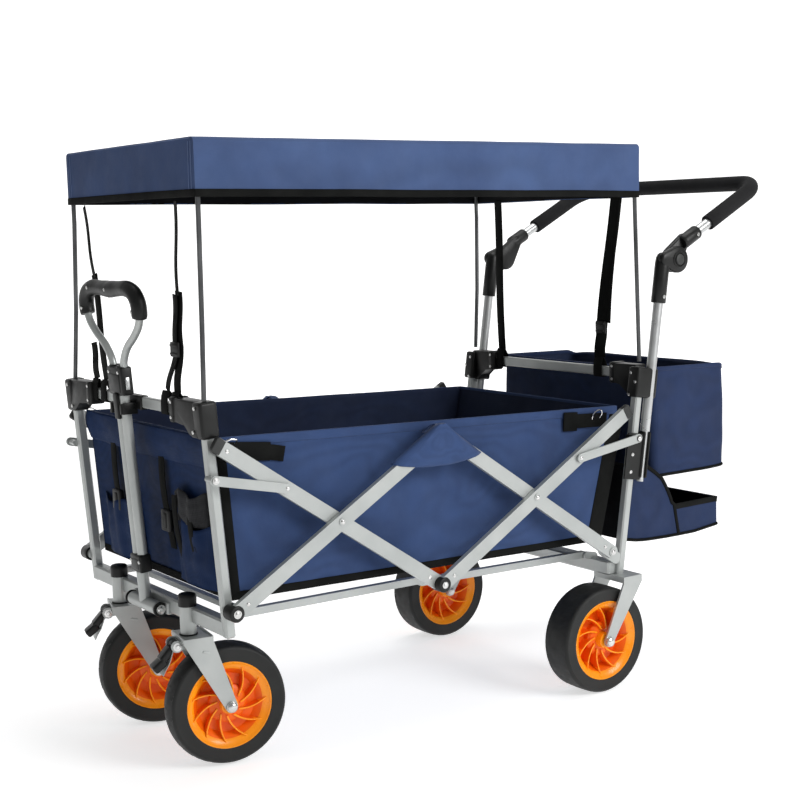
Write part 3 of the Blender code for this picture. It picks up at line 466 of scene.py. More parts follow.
# ---- wheels ----
def tyre_mesh(radius, half, rim, round_off, bars):
    """A solid tyre: flat side walls, square shoulders and shallow chevron grooves on the crown."""
    bm = bmesh.new()
    edge, tread = radius - round_off, 6
    wall = [(rim - 0.006, 0.8), (rim - 0.001, 0.985), (rim + 0.0005, 0.998), (rim + 0.004, 1.0),
            (edge - 0.0068, 1.0), (edge - 0.0058, 1.01), (edge - 0.0043, 0.995),
            (edge - 0.0024, 0.945), (edge - 0.0009, 0.87)]
    crown = [(radius - 0.0004 - round_off * (1 - 2 * t) ** 2, 0.8 - 1.6 * t) for t in shares(tread)]
    profile = wall + crown + [(r, -share) for r, share in reversed(wall)]
    rows = lathe(bm, [(r, half * share) for r, share in profile], bars * 8, ring=True)
    for k, row in enumerate(rows[len(wall):-len(wall)]):
        for i, vert in enumerate(row):
            if (i + abs(2 * k - tread)) % 8 == 0:
                vert.co -= Vector((vert.co.x, vert.co.y, 0)).normalized() * 0.002
    return bm


def rim_mesh(half, rim, hub, ribs):
    """A moulded rim: flange ring, coned barrel, web, hub plate and swept ribs on both faces."""
    bm = bmesh.new()
    edge, web = half * 0.985, half * 0.14
    face = [(0.0053, half + 0.0008), (0.0125, half + 0.0008), (0.014, half - 0.0008),
            (0.015, half * 0.62), (hub - 0.004, half * 0.56), (hub, half * 0.44),
            (hub + 0.0012, web + 0.001), (rim * 0.62, web), (rim * 0.67, web + 0.001),
            (rim * 0.8, edge - 0.0085), (rim * 0.87, edge - 0.0052), (rim * 0.94, edge - 0.0022),
            (rim - 0.003, edge - 0.0004), (rim - 0.0018, edge),
            (rim - 0.0006, edge - 0.0012), (rim - 0.0012, half * 0.9), (rim - 0.0063, half * 0.8)]
    lathe(bm, face + [(r, -h) for r, h in reversed(face)], 88, ring=True)
    inner = hub - 0.011
    for lean in (1, -1):
        for n in range(ribs):
            rings = []
            for t in shares(8):
                r = inner + (rim * 0.855 - inner) * t
                turn = lean * (2 * pi * n / ribs + 0.6 * t ** 0.8)
                thick = 0.0012 + 0.0005 * (1 - t)
                top = half * (0.7 + 0.12 * t)
                spot, across = Vector((r * cos(turn), r * sin(turn), 0)), Vector((-sin(turn), cos(turn), 0))
                rings.append([bm.verts.new(spot + across * a * thick + Z * lean * z) for a, z in (
                    (-1.3, web * 0.5), (1.3, web * 0.5), (1, top - 0.0006), (0.5, top), (-0.5, top),
                    (-1, top - 0.0006))])
            close_rings(bm, rings)
    return bm


WHEELS = {"front": dict(radius=0.1, half=0.0235, rim=0.0725, round_off=0.0036, bars=18),
          "rear": dict(radius=0.0975, half=0.0305, rim=0.0736, round_off=0.0007, bars=16)}
HUB, RIBS = 0.031, 11
CASTER, TRAIL, FRONT_RADIUS = (-0.566, 0.1293), 0.0565, 0.1
YAW = {"left": radians(9.46), "right": radians(15.94)}
REAR_AXLE = (0.1998, 0.2399, 0.0975)


def caster_turn(name):
    return Matrix.Rotation(-YAW[name], 3, "Z")


def caster_point(name, side, *local):
    """A point given in a caster's own turned frame."""
    return Vector((CASTER[0], side * CASTER[1], 0)) + caster_turn(name) @ Vector(local)


def build_wheels():
    for end, spec in WHEELS.items():
        for name, side in SIDES:
            centre, yaw = Vector((REAR_AXLE[0], side * REAR_AXLE[1], REAR_AXLE[2])), 0.0
            if end == "front":
                centre, yaw = caster_point(name, side, TRAIL, 0, FRONT_RADIUS), YAW[name]
            place = Matrix.Rotation(-yaw, 4, "Z") @ Matrix.Rotation(pi / 2, 4, "X")
            place.translation = centre
            meshes = {"tyre": (tyre_mesh(**spec), RUBBER, 32),
                      "rim": (rim_mesh(spec["half"], spec["rim"], HUB, RIBS), ORANGE, 30)}
            for kind, (bm, mat, degrees) in meshes.items():
                bmesh.ops.recalc_face_normals(bm, faces=bm.faces)
                bm.transform(place)
                obj = finish("%s_%s_%s" % (kind, end, name), bm, mat, "%s_wheel_%s" % (end, name),
                             degrees, "%s_%s_%s" % (end, kind, name))
            # faces of the recessed web and hub take the darker orange: painted shade in the recesses,
            # partly the moulding's own deeper tone
            obj.data.materials.append(ORANGE_DEEP_AND_SHADED)
            for face in obj.data.polygons:
                spot = place.inverted() @ face.center
                if abs(spot.z) < spec["half"] * 0.63 and hypot(spot.x, spot.y) < spec["rim"] * 0.74:
                    face.material_index = 1


build_wheels()

# ---- canopy ----
CANOPY_X, CANOPY_HALF, CANOPY_Z = (-0.5795, 0.3185), 0.2395, (0.8968, 0.9923)
CANOPY_LENGTH, CANOPY_DROP = CANOPY_X[1] - CANOPY_X[0], CANOPY_Z[1] - CANOPY_Z[0]
HEM = 0.01                  # height of the black binding
FRONT_HEM_LIFT = 0.0088       # how much higher the hem hangs at the front


def canopy_sway(point):
    """How far a point of the canopy hangs from its flat pattern."""
    x, y, z = point
    length = (x - CANOPY_X[0]) / CANOPY_LENGTH
    z = CANOPY_Z[1] - (CANOPY_Z[1] - z) * (1 - FRONT_HEM_LIFT * (1 - length) / CANOPY_DROP)
    drop = (CANOPY_Z[1] - z) / CANOPY_DROP
    belly = sin(pi * min(max(length, 0), 1))
    roof = max(0.0, 1 - drop * 5)
    sag = -0.004 * belly * roof * (1 - (y / CANOPY_HALF) ** 2)
    sag += 0.0009 * ripple(point, 9, 3) * roof + 0.0012 * ripple(point, 6, 5) * drop
    wave = (0.0014 * ripple(point, 7, 1) + 0.0006 * ripple(point, 21, 2)) * drop
    if min(abs(x - CANOPY_X[0]), abs(x - CANOPY_X[1])) < 0.004:
        x += wave
    if abs(y) > CANOPY_HALF - 0.012:
        y += (wave - 0.0016 * belly * drop) * (1 if y > 0 else -1)
    return Vector((x, y, z + sag))


def build_canopy():
    columns, across, radius, steps = 90, 44, 0.0085, 10
    low, high = CANOPY_Z
    side = [(-CANOPY_HALF, low + (high - radius - low) * i / steps) for i in range(steps)]
    side += [(-CANOPY_HALF + radius - radius * cos(pi / 2 * t), high - radius + radius * sin(pi / 2 * t))
             for t in shares(5)]
    edge = side[-1][0]
    section = side + [(edge - 2 * edge * t, high) for t in shares(across)[1:-1]]
    section += [(-y, z) for y, z in reversed(side)]
    wrap = [[canopy_sway((CANOPY_X[0] + CANOPY_LENGTH * t, y, z)) for y, z in section]
            for t in shares(columns)]
    ends = [[[canopy_sway((x, y - 2 * y * t, z)) for t in shares(across)] for y, z in side]
            for x in CANOPY_X]
    centre = (-0.13, 0, 0.94)
    cover = cloth("canopy_cover", [wrap] + ends, NAVY, FRONT, 0.0012, centre, replaces="canopy")
    # the canopy's front end takes the tub's darker navy: painted shade on the same fabric
    paint_front_shade(cover, NAVY_TUB)
    binding = piece("canopy_binding", WEBBING, FRONT,
                    (sweep, canopy_outline(low + HEM / 2 + 0.0004, 0.0001), tape(HEM + 0.0016, 0.0026),
                     Z, None, True), degrees=50, fold=CANOPY_FOLD)
    gather(cover)

    seams = []
    for x, inward in ((CANOPY_X[0], 1), (CANOPY_X[1], -1)):
        shift = -0.0003 * inward * X
        top, foot = high - 0.007, low + 0.012
        for side_y in (-1, 1):
            for away in (0.0085, 0.0165):
                route = [(x, side_y * (CANOPY_HALF - away - 0.002 * t), top + (foot - top) * t)
                         for t in shares(14)]
                seams.append((sweep, [canopy_sway(p) + shift for p in route], tape(0.0018, 0.0012), Y))
        shift = Vector((-0.0002 * inward, 0, -0.0012))
        reach = CANOPY_HALF - 0.01
        seams.append((sweep, [canopy_sway((x, -reach + 2 * reach * t, high - 0.0006)) + shift
                              for t in shares(40)], tape(0.0014, 0.0016), Z))
    piece("canopy_seams", NAVY_PALE, FRONT, *seams, degrees=50, fold=CANOPY_FOLD)

    inset = 0.0022
    x0, x1, limit = CANOPY_X[0] + inset, CANOPY_X[1] - inset, CANOPY_HALF - inset
    shrunk = [(y * (1 - inset / CANOPY_HALF), min(z, high - inset)) for y, z in section[::2]]

    def inner(x, y, z):
        p = canopy_sway((x, y, z + 0.0012))
        return Vector((min(max(p.x, x0), x1), max(min(p.y, limit), -limit), p.z))

    wrap = [[inner(x0 + (x1 - x0) * t, y, z) for y, z in shrunk] for t in shares(40)]
    ends = [[[inner(x, y - 2 * y * t, z) for t in shares(24)] for y, z in shrunk
             if y < 0 and z < high - 0.0045] for x in (x0, x1)]
    lining = cloth("canopy_lining", [wrap] + ends, LINING, FRONT, 0.0005, centre)
    gather(lining)


def canopy_outline(z, grow, count=64):
    """The points round the canopy at a height, just outside its cloth."""
    out, corner, half = [], 0.0012, CANOPY_HALF
    x0, x1 = CANOPY_X
    for a, b, away in (((x0 + corner, -half, z), (x1 - corner, -half, z), -Y),
                       ((x1, -half + corner, z), (x1, half - corner, z), X),
                       ((x1 - corner, half, z), (x0 + corner, half, z), Y),
                       ((x0, half - corner, z), (x0, -half + corner, z), -X)):
        out += [canopy_sway(along(a, b, t)) + away * grow for t in shares(count if away.y else count // 2)]
    return out


build_canopy()

# ---- tub ----
TUB_TOP = ((-0.562, 0.545), (0.264, 0.519))
TUB_FOOT = ((-0.544, 0.292), (0.201, 0.276))
TUB_HALF = 0.2335


def tub_point(share, down, y):
    """A point of the tub's flat pattern: share runs front to rear, down runs rim to floor."""
    x, z = along(along(*TUB_TOP, share), along(*TUB_FOOT, share), down)
    return Vector((x, y, z))


def tub_side_wave(share, down, side):
    """How far a long wall stands off its flat plane, outwards."""
    p = (share * 0.8, side * 0.3, down * 0.25)
    wave = 0.0024 * ripple(p, 6, 11) + 0.0012 * ripple(p, 17, 12)
    wave += 0.0012 * ripple((share * 3 + down * 2, side, 0), 3, 13) + 0.0035 * sin(pi * down)
    return wave * sin(pi * share) ** 0.6 * (0.25 + 0.75 * min(1, down * 6))


def tub_wall(share, across, down):
    """A point of the tub's walls as they hang; across runs from -1 to 1."""
    p = tub_point(share, down, across * TUB_HALF)
    if abs(across) > 0.999 and 0 < share < 1:
        p.y += across * tub_side_wave(share, down, across)
        p.z += 0.0012 * ripple((share, across, 0), 5, 9) * (1 - down)
    elif abs(across) < 0.999:
        end = -1 if share < 0.5 else 1
        slack = (1 - across * across) ** 0.7 * min(1, down * 5)
        p.x += end * slack * (0.003 * ripple((across, down * 0.4, end), 5, 15) - 0.0015)
    return p


def tub_floor(share, across):
    p = tub_point(share, 1.0, TUB_HALF * across)
    if 0 < share < 1 and -1 < across < 1:
        p.z += 0.0015 * (sin(pi * share) * (1 - across * across))
    elif 0 < share < 1:
        p.y += across * tub_side_wave(share, 1.0, across)
    return p


def build_tub():
    length, width, deep = 96, 50, 34
    ring = [(t, -1.0) for t in shares(length)[:-1]] + [(1.0, -1 + 2 * t) for t in shares(width)[:-1]]
    ring += [(1 - t, 1.0) for t in shares(length)[:-1]] + [(0.0, 1 - 2 * t) for t in shares(width)[:-1]]
    walls = [[tub_wall(s, a, down) for s, a in ring] for down in shares(deep)]
    floor = [[tub_floor(s, -1 + 2 * t) for t in shares(width)] for s in shares(length)]
    tub = cloth("tub_cloth", [walls, floor], NAVY_TUB, FRONT, 0.0018, (-0.16, 0, 0.4), True,
                NAVY_DARK, "tub")
    # the tub's front end, inside and out, takes the darker navy: painted shade on the same fabric
    paint_front_shade(tub, NAVY_FRONT_SHADE)

    hem = 0.015
    rim = []
    for share, across in ring:
        push = Y * across if abs(across) > 0.999 else X * (-1 if share < 0.5 else 1)
        rim.append(tub_wall(share, across, hem / 2 / 0.25) + push * 0.0004)
    trims = [piece("tub_rim_hem", NAVY_TUB, FRONT, (sweep, rim, tape(hem, 0.0034), Z, None, True),
                   degrees=50)]

    tapes = []
    # the rear corner bindings are twice as wide as the front ones
    for share, inset, wide in ((0.0, 0.0085, 0.017), (1.0, 0.003, 0.034)):
        for side in (-1, 1):
            tapes.append((sweep, [tub_point(share, 0.07 + 0.93 * t, side * TUB_HALF)
                                  + Vector((inset, side * 0.0009, 0)) for t in shares(16)],
                          tape(wide, 0.0016), X))
    lift = Vector((0, 0, 0.005))
    for side in (-1, 1):
        tapes.append((sweep, [tub_point(t, 1.0, side * TUB_HALF) + lift
                              + Y * side * (tub_side_wave(t, 1.0, side) + 0.0006) for t in shares(60)],
                      tape(0.013, 0.0022), Z))
    for share in (0.0, 1.0):
        tapes.append((sweep, [tub_point(share, 1.0, TUB_HALF * (-1 + 2 * t)) + lift for t in shares(30)],
                      tape(0.013, 0.003), Z))
    trims.append(piece("tub_bindings", WEBBING, FRONT, *tapes, degrees=50))

    for cover in [tub] + trims:
        gather(cover)


build_tub()


def build_floor_mat():
    """The quilted floor mat: four padded panels with sunk hinge seams between them."""
    x0, x1, half, panels = -0.536, 0.192, 0.2255, 4

    def quilt(share, across):
        x, y = x0 + (x1 - x0) * share, across * half
        panel = (share * panels) % 1.0
        puff = min(1.0, 6 * min(panel, 1 - panel)) * min(1.0, 9 * (1 - abs(across)))
        return Vector((x, y, 0.2984 - share * 0.0157 + 0.0052 * puff ** 0.5
                       + 0.0006 * ripple((x, y, 0), 14, 21)))

    mat = cloth("floor_mat", [[[quilt(s, -1 + 2 * t) for t in shares(36)] for s in shares(56)]], NAVY_DARK,
                FRONT, 0.002, (-0.17, 0, 0.2), replaces="floor_board")
    gather(mat)


build_floor_mat()


# ---- basket and tray behind the rear frame ----
def build_basket():
    """An open bag with soft vertical edges; its rim dips a little towards the rear."""
    x0, x1, z0, z1 = 0.369, 0.564, 0.369, 0.58
    half, radius, length = 0.221, 0.015, x1 - x0
    corners = [[(cx + radius * cos(start + pi / 2 * t), cy + radius * sin(start + pi / 2 * t))
                for t in shares(6)] for cx, cy, start in (
                    (x0 + radius, -half + radius, pi), (x1 - radius, -half + radius, -pi / 2),
                    (x1 - radius, half - radius, 0), (x0 + radius, half - radius, pi / 2))]
    ring = []
    for corner, following, count in zip(corners, corners[1:] + corners[:1], (18, 40, 18, 40)):
        ring += corner + [along(corner[-1], following[0], t) for t in shares(count)[1:-1]]
    middle = (x0 + x1) / 2

    def wall(x, y, down):
        out = Vector((x - middle, y * length / (2 * half), 0)).normalized()
        share, side = (x - x0) / length, abs(y / half)
        top = z1 - 0.004 * share - 0.002 * sin(pi * (y / half + 1) / 2)
        top -= 0.0085 * max(0.0, (share - 0.9) / 0.1) ** 2.4 * side ** 6
        z = top + (z0 + 0.003 * side ** 4 + 0.0035 * share ** 6 - top) * down
        bulge = 0.0016 * ripple((x, y, z), 9, 31) + 0.0008 * ripple((x, y, z), 26, 32)
        bulge += 0.0026 * sin(pi * down) - 0.0012
        return Vector((x + out.x * bulge + (0.0015 * down if share > 0.5 else 0.0), y + out.y * bulge, z))

    rows = [[wall(x, y, down) for x, y in ring] for down in shares(26)]
    last = rows[-1]
    centre = sum(last, Vector()) / len(last)
    base = [[p + (centre - p) * t + Vector((0, 0, -0.0008 * t)) for p in last + last[:1]]
            for t in (0.0, 0.02, 0.3, 0.65, 0.999)]
    basket = cloth("basket_cloth", [rows, base], NAVY_BAG, REAR, 0.0018, (middle, 0, 0.48), True,
                   NAVY_DARK, "rear_basket")
    trims = [
        piece("basket_piping", WEBBING, REAR,
              (sweep, [p + Z * 0.0012 for p in last], circle(0.003, 8), None, None, True), degrees=60),
        piece("basket_rim", NAVY_BAG, REAR,
              (sweep, [p - Z * 0.0035 for p in rows[0]], tape(0.0085, 0.0034), Z, None, True), degrees=50)]


build_basket()

TRAY_HALF = 0.233
TRAY_SIDE = (((0.2975, 0.406), (0.279, 0.266)), ((0.3264, 0.405), (0.296, 0.263)),
             ((0.3429, 0.396), (0.312, 0.26)), ((0.362, 0.3835), (0.33, 0.258)),
             ((0.3793, 0.37), (0.3489, 0.257)), ((0.387, 0.3585), (0.362, 0.2566)),
             ((0.3941, 0.346), (0.376, 0.2562)), ((0.4008, 0.333), (0.39, 0.2558)),
             ((0.4063, 0.32), (0.408, 0.2556)), ((0.412, 0.316), (0.424, 0.2555)),
             ((0.466, 0.3166), (0.466, 0.2556)), ((0.524, 0.3172), (0.523, 0.2612)),
             ((0.528, 0.316), (0.529, 0.2622)))


def build_tray():
    """The low tray: two sides with a swept edge, a front and rear wall, and a flat floor."""
    def tray_side(side):
        rows = []
        for rim, foot in TRAY_SIDE:
            spots = [along(rim, foot, t) + (sin(pi * t),) for t in shares(12)]
            rows.append([Vector((x, side * (TRAY_HALF + 0.0012 * ripple((x, side, z), 22, 41) * free), z))
                         for x, z, free in spots])
        return rows

    near, far = tray_side(-1), tray_side(1)
    across = [bridge(a, b, 30) for a, b in (
        (near[0], far[0]), (near[-1], far[-1]), ([row[-1] for row in near], [row[-1] for row in far]))]
    tray = cloth("tray_cloth", [near, far] + across, NAVY_BAG, REAR, 0.0018, (0.4, 0, 0.33),
                 inside=LINING, replaces="tail_tray")
    # the front wall is drawn black on both faces with the lining material
    for face in tray.data.polygons:
        if face.center.x < 0.299 and abs(face.normal.x) > 0.9:
            face.material_index = 1

    band, piping, swept = tape(0.011, 0.003), circle(0.003, 8), 9
    trims = []
    for side, rows in ((-1, near), (1, far)):
        push = Y * side * 0.0003
        edge = [row[0] + push for row in rows[:swept + 1]]
        edge += [rows[swept][0].lerp(rows[swept][-1], 0.5) + push, rows[swept][-1] + push + Z * 0.001]
        trims += [(sweep, edge, tape(0.0072, 0.0034)),
                  (sweep, [row[-1] + push + Z * 0.0012 for row in rows], piping),
                  (sweep, [row[0] + push - Z * 0.0045 for row in rows[swept:]], band, Z)]
    rear, foot = ([near[-1][k].lerp(far[-1][k], t) for t in shares(24)] for k in (0, -1))
    trims += [(sweep, [p + Vector((0.0004, 0, -0.004)) for p in rear], band, Z),
              (sweep, [p + Vector((0.0002, 0, 0.0012)) for p in foot], piping)]
    trim = piece("tray_bindings", WEBBING, REAR, *trims, degrees=50)


build_tray()

# ---- metalwork: positions shared with the frame, in the side plane ----
FRONT_HUB, FRONT_CROSSING = (-0.5594, 0.282), (-0.367, 0.3967)
TOP_HUB, LOW_HUB = (-0.1637, 0.5179), (-0.17125, 0.26366)
REAR_CROSSING, REAR_HUB = (0.03205, 0.38486), (0.2173, 0.259)
FRONT_TAIL, REAR_TAIL = (-0.5696, 0.5344), (0.2424, 0.5104)
FRONT_STAY, FRONT_RIVET = (-0.5838, 0.487), (-0.4607, 0.4604)
REAR_STAY, REAR_RIVET = (0.2692, 0.4635), (0.1293, 0.4429)
FRONT_BAR, REAR_BAR = (-0.5805, 0.584), (0.316, 0.5735)      # the upper cross bars
INNER_FACE, OUTER_FACE, FRONT_STAY_FACE, REAR_STAY_FACE = 0.271, 0.2815, 0.276, 0.2867
BAR = 0.012                   # half the width of a scissor bar
RIVET, PIN, FLUSH = (0.0034, 0.0015), (0.004, 0.0017), (0.0034, 0.0004)   # radius and height
# what it's called, its material, body and shape, where it is, its face's y, its radius and height
FASTENERS = (
    ("cap_front_hub_", BLACK, FRONT, hub_cap, FRONT_HUB, 0.26, BAR + 0.0009, 0.024),
    ("bolt_front_hub_", ZINC, FRONT, bolt_head, FRONT_HUB, 0.284, 0.0048, 0.0026),
    ("cap_low_hub_", BLACK, "scissor_falling", hub_cap, LOW_HUB, 0.2605, BAR + 0.0009, 0.0235),
    ("bolt_low_hub_", ZINC, "scissor_falling", bolt_head, LOW_HUB, 0.284, 0.0042, 0.0026),
    ("bolt_rear_hub_", ZINC, REAR, bolt_head, REAR_HUB, 0.2724, 0.004, 0.0022),
    ("rivets_rising_", ZINC, "scissor_rising", rivet, toward(FRONT_HUB, TOP_HUB, 0.0235), OUTER_FACE,
     *RIVET),
    ("rivets_falling_", ZINC, "scissor_falling", rivet, toward(FRONT_TAIL, LOW_HUB, 0.0115), INNER_FACE,
     *RIVET),
    ("flush_rivet_falling_", ZINC, "scissor_falling", rivet, toward(LOW_HUB, FRONT_TAIL, 0.025),
     INNER_FACE, *FLUSH),
    ("pin_front_crossing_", ZINC, "scissor_falling", rivet, FRONT_CROSSING, OUTER_FACE + 0.0012, *PIN),
    ("rivets_rising_rear_", ZINC, "scissor_rising_rear", rivet, toward(LOW_HUB, REAR_TAIL, 0.0245),
     OUTER_FACE, *RIVET),
    ("pin_rear_crossing_", ZINC, "scissor_falling_rear", rivet, REAR_CROSSING, OUTER_FACE + 0.0012, *PIN),
    ("rivet_falling_rear_", ZINC, "scissor_falling_rear", rivet, toward(REAR_HUB, TOP_HUB, 0.0215),
     INNER_FACE, *RIVET),
    ("rivet_stay_front_", ZINC, "front_stays", rivet, FRONT_RIVET, FRONT_STAY_FACE, *RIVET),
    ("bolt_stay_front_", ZINC, FRONT, bolt_head, FRONT_STAY, 0.2776, 0.004, 0.002),
    ("rivet_stay_rear_", ZINC, "rear_stays", rivet, REAR_RIVET, REAR_STAY_FACE, *RIVET),
    ("bolt_stay_rear_", ZINC, REAR, bolt_head, REAR_STAY, 0.2882, 0.0036, 0.0018))


def bar_plug(bm, tail, side, faces):
    """A plastic plug over a bar's free end; faces are the bar's two sides."""
    turn = angle_of(LOW_HUB, tail)
    across = Vector((-sin(turn), 0, cos(turn)))
    middle, half = (faces[0] + faces[1]) / 2, (faces[1] - faces[0]) / 2
    rings = []
    for reach, grow in ((-0.002, 1.03), (-0.0012, 1.06), (0.0085, 1.06), (0.0112, 1.0), (0.0128, 0.88),
                        (0.0136, 0.6)):
        spot = Vector(at_y(step(tail, turn, reach), side * middle))
        rings.append([bm.verts.new(spot + across * u * BAR * grow + Y * side * v * half * min(1.0, grow))
                      for u, v in ((-1, -0.5), (-0.86, -1), (0.86, -1), (1, -0.5), (1, 0.5), (0.86, 1),
                                   (-0.86, 1), (-1, 0.5))])
    close_rings(bm, rings)


def build_scissor_trim():
    for name, side in SIDES:
        for label, mat, body, draw, spot, face, *size in FASTENERS:
            piece(label + name, mat, body, (draw, spot, face, side, *size))
        for end, body, tail, faces in (("front", "scissor_falling", FRONT_TAIL, (0.261, 0.272)),
                                       ("rear", "scissor_rising_rear", REAR_TAIL, (0.2715, 0.2825))):
            piece("plug_%s_tail_%s" % (end, name), DARK_GREY, body, (bar_plug, tail, side, faces))


def build_flap(name, side):
    """The triangular fabric cap over the top pins of the scissors."""
    peak, face, rim = Vector((-0.169, 0, 0.5325)), 0.2842, 0.8

    def hang(u, v):
        x = peak.x + u * (0.0075 + (0.09 if u < 0 else 0.08) * v ** 0.95) - 0.004 * v
        z = peak.z - 0.068 * v + 0.0115 * abs(u) ** 2.2 * v + 0.0012 * ripple((u, v, side), 2.2, 51)
        out = face + 0.0022 * sin(pi * min(1, v * 1.2)) * (1 - u * u)
        out += 0.0008 * ripple((u * 2, v * 2, side), 2, 52)
        out -= 0.0105 * (max(0.0, abs(u) - rim) / (1 - rim)) ** 1.4 * (1 - 0.3 * v)
        return Vector((x, side * out, z))

    rows = [[hang(-1 + 2 * t, v) for t in shares(20)] for v in shares(12)]
    # the first row is folded in over the pins, each new row from the one at its own place
    for k in range(1, 7):
        t = k / 6
        rows.insert(0, [Vector((p.x, side * (face - 0.05 * t),
                                peak.z - 0.018 * t * t + 0.0015 * sin(pi * t))) for p in rows[k - 1]])
    flap = cloth("hub_flap_" + name, [rows], NAVY_TUB, None, 0.0014, (-0.165, side * 0.15, 0.45))
    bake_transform(flap)


TABS = (((-0.556, 0.524), (-0.469, 0.515), 0.029), ((-0.472, 0.5145), (-0.444, 0.5085), 0.0245),
        ((0.131, 0.502), (0.162, 0.5), 0.034), ((0.156, 0.501), (0.233, 0.497), 0.025))
HOOK = ((-0.564, 0.259, 0.529), (-0.565, 0.264, 0.537), (-0.559, 0.268, 0.5435),
        (-0.551, 0.269, 0.5455), (-0.542, 0.268, 0.544), (-0.537, 0.26, 0.54),
        (-0.536, 0.248, 0.534), (-0.5365, 0.239, 0.527))


def build_webbing():
    """The black tabs, the wire hook and the D-ring that hold the tub up at its corners."""
    for name, side in SIDES:
        tabs = []
        for a, b, width in TABS:
            tabs.append((sweep, [at_y(along(a, b, t), side * (TUB_HALF + 0.0052 + 0.0005 * sin(8 * t)))
                                 for t in shares(8)], tape(width, 0.0022), Z))
        piece("tub_tabs_" + name, WEBBING, FRONT, *tabs, degrees=50, fold=TUB_FOLD)
        piece("tub_hook_" + name, CHROME, FRONT,
              (sweep, [(x, side * y, z) for x, y, z in HOOK], circle(0.0014, 10)))
        ring = [(0.208 + x, side * (0.242 + z * 0.006 / 0.0105), 0.507 + z) for x, z in circle(0.0105, 20)]
        piece("tub_ring_" + name, CHROME, FRONT, (sweep, ring, circle(0.0013, 8), None, None, True),
              fold=TUB_FOLD)


build_scissor_trim()
for side_name, side_sign in SIDES:
    build_flap(side_name, side_sign)


# ---- plastic blocks on the posts ----
BLOCKS = {
    "front": dict(foot=(-0.5542, 0.237), head=(-0.5816, 0.5975), share=0.937, reach=(0.015, 0.015),
                  bar=FRONT_BAR, inner=0.15, screws=((0.242, 0.018), (0.231, -0.019))),
    "rear": dict(foot=(0.254, 0.205), head=(0.3098, 0.573), share=0.964, reach=(0.015, 0.0375),
                 bar=REAR_BAR, inner=0.172, screws=((0.24, 0.02), (0.2525, 0.004), (0.239, -0.02)))}


def build_block(end, name, side, foot, head, share, reach, bar, inner, screws):
    """A moulded block over a post's head, with a plate out to the upper cross bar."""
    lean, deep = angle_of(foot, head), reach[0] + reach[1]
    x, z = step(along(foot, head, share), lean - pi / 2, (reach[1] - reach[0]) / 2)
    top, low, floor = bar[1] + 0.0181, bar[1] - 0.0181, z - 0.0276
    outline = [(inner, top), (inner, low), (0.201, low), (0.219, low - 0.013), (0.2235, floor),
               (0.243, floor), (0.243, top)]
    piece("block_%s_%s" % (end, name), BLACK, end + "_end",
          (block, (deep, 0.0264, 0.056), (x, side * 0.245, z), 0.0048, 4, pivot_y(lean - pi / 2)),
          (slab, [(side * y, h) for y, h in outline], bar[0] - 0.0131, bar[0] + 0.0131, 0.0026),
          (block, (0.029, 0.013, 0.0395), (bar[0], side * (inner + 0.01), bar[1]), 0.003, 3),
          replaces="%s_corner_block_%s" % (end, name))
    front, slope = x - deep / 2 - 0.0012, (head[0] - foot[0]) / (head[1] - foot[1])
    spots = [(screw, (front + slope * dz, side * y, z + dz), -X, 0.003, 0.0012) for y, dz in screws]
    spots += [(screw, (bar[0] - 0.0146, side * (inner + 0.0095), bar[1] + dz), -X, 0.0026, 0.0012)
              for dz in (0.012, -0.012)]
    piece("block_screws_%s_%s" % (end, name), ZINC, end + "_end", *spots)


def build_blocks():
    for end, spec in BLOCKS.items():
        for name, side in SIDES:
            build_block(end, name, side, **spec)
    for name, side in SIDES:
        piece("bracket_screws_" + name, ZINC, REAR,
              *[(screw, (x, side * 0.2566, z), (0, side, 0), 0.0034, 0.0014)
                for x, z in ((0.2815, 0.429), (0.2765, 0.3975), (0.303, 0.3995))])


# ---- casters, brakes and axles: (radius, height) profiles of the turned pieces ----
CAP = [(0, 0.266), (0.0128, 0.266), (0.0146, 0.266), (0.0148, 0.28), (0.0142, 0.2838),
       (0.0125, 0.2856), (0.009, 0.2864), (0.0, 0.2866)]
WASHER = [(0.004, 0.2194), (0.0147, 0.2194), (0.015, 0.2203), (0.0143, 0.2212), (0.0134, 0.2216),
          (0.004, 0.2216)]
AXLE_NUT = [(0, -0.0036), (0.0092, -0.0036), (0.0092, -0.0026), (0.008, -0.0022), (0.0078, 0.0002),
            (0.0062, 0.0018), (0.0035, 0.0026), (0, 0.0027)]
REAR_NUT = [(0, -0.004), (0.0092, -0.004), (0.009, -0.0022), (0.0074, -0.0018), (0.0072, 0.0002),
            (0.0052, 0.0016), (0, 0.0022)]
LUG_NUT = [(0, 0), (0.0072, 0), (0.007, 0.001), (0.0038, 0.0013), (0.003, 0.0026), (0, 0.003)]
LUG = [(0, -0.0016), (0.0094, -0.0016), (0.0098, 0), (0.0094, 0.0018), (0, 0.0018)]
BARREL = [(0, -0.0118), (0.0068, -0.0118), (0.0074, -0.0108), (0.0074, 0.0108), (0.0068, 0.0118),
          (0, 0.0118)]
BRAKE_PIVOT = (-0.024, 0.206)          # forward and up in the caster's frame
SHOE = ((-0.03, 0.1985), (-0.0335, 0.188), (-0.037, 0.179), (-0.044, 0.168), (-0.0475, 0.161))


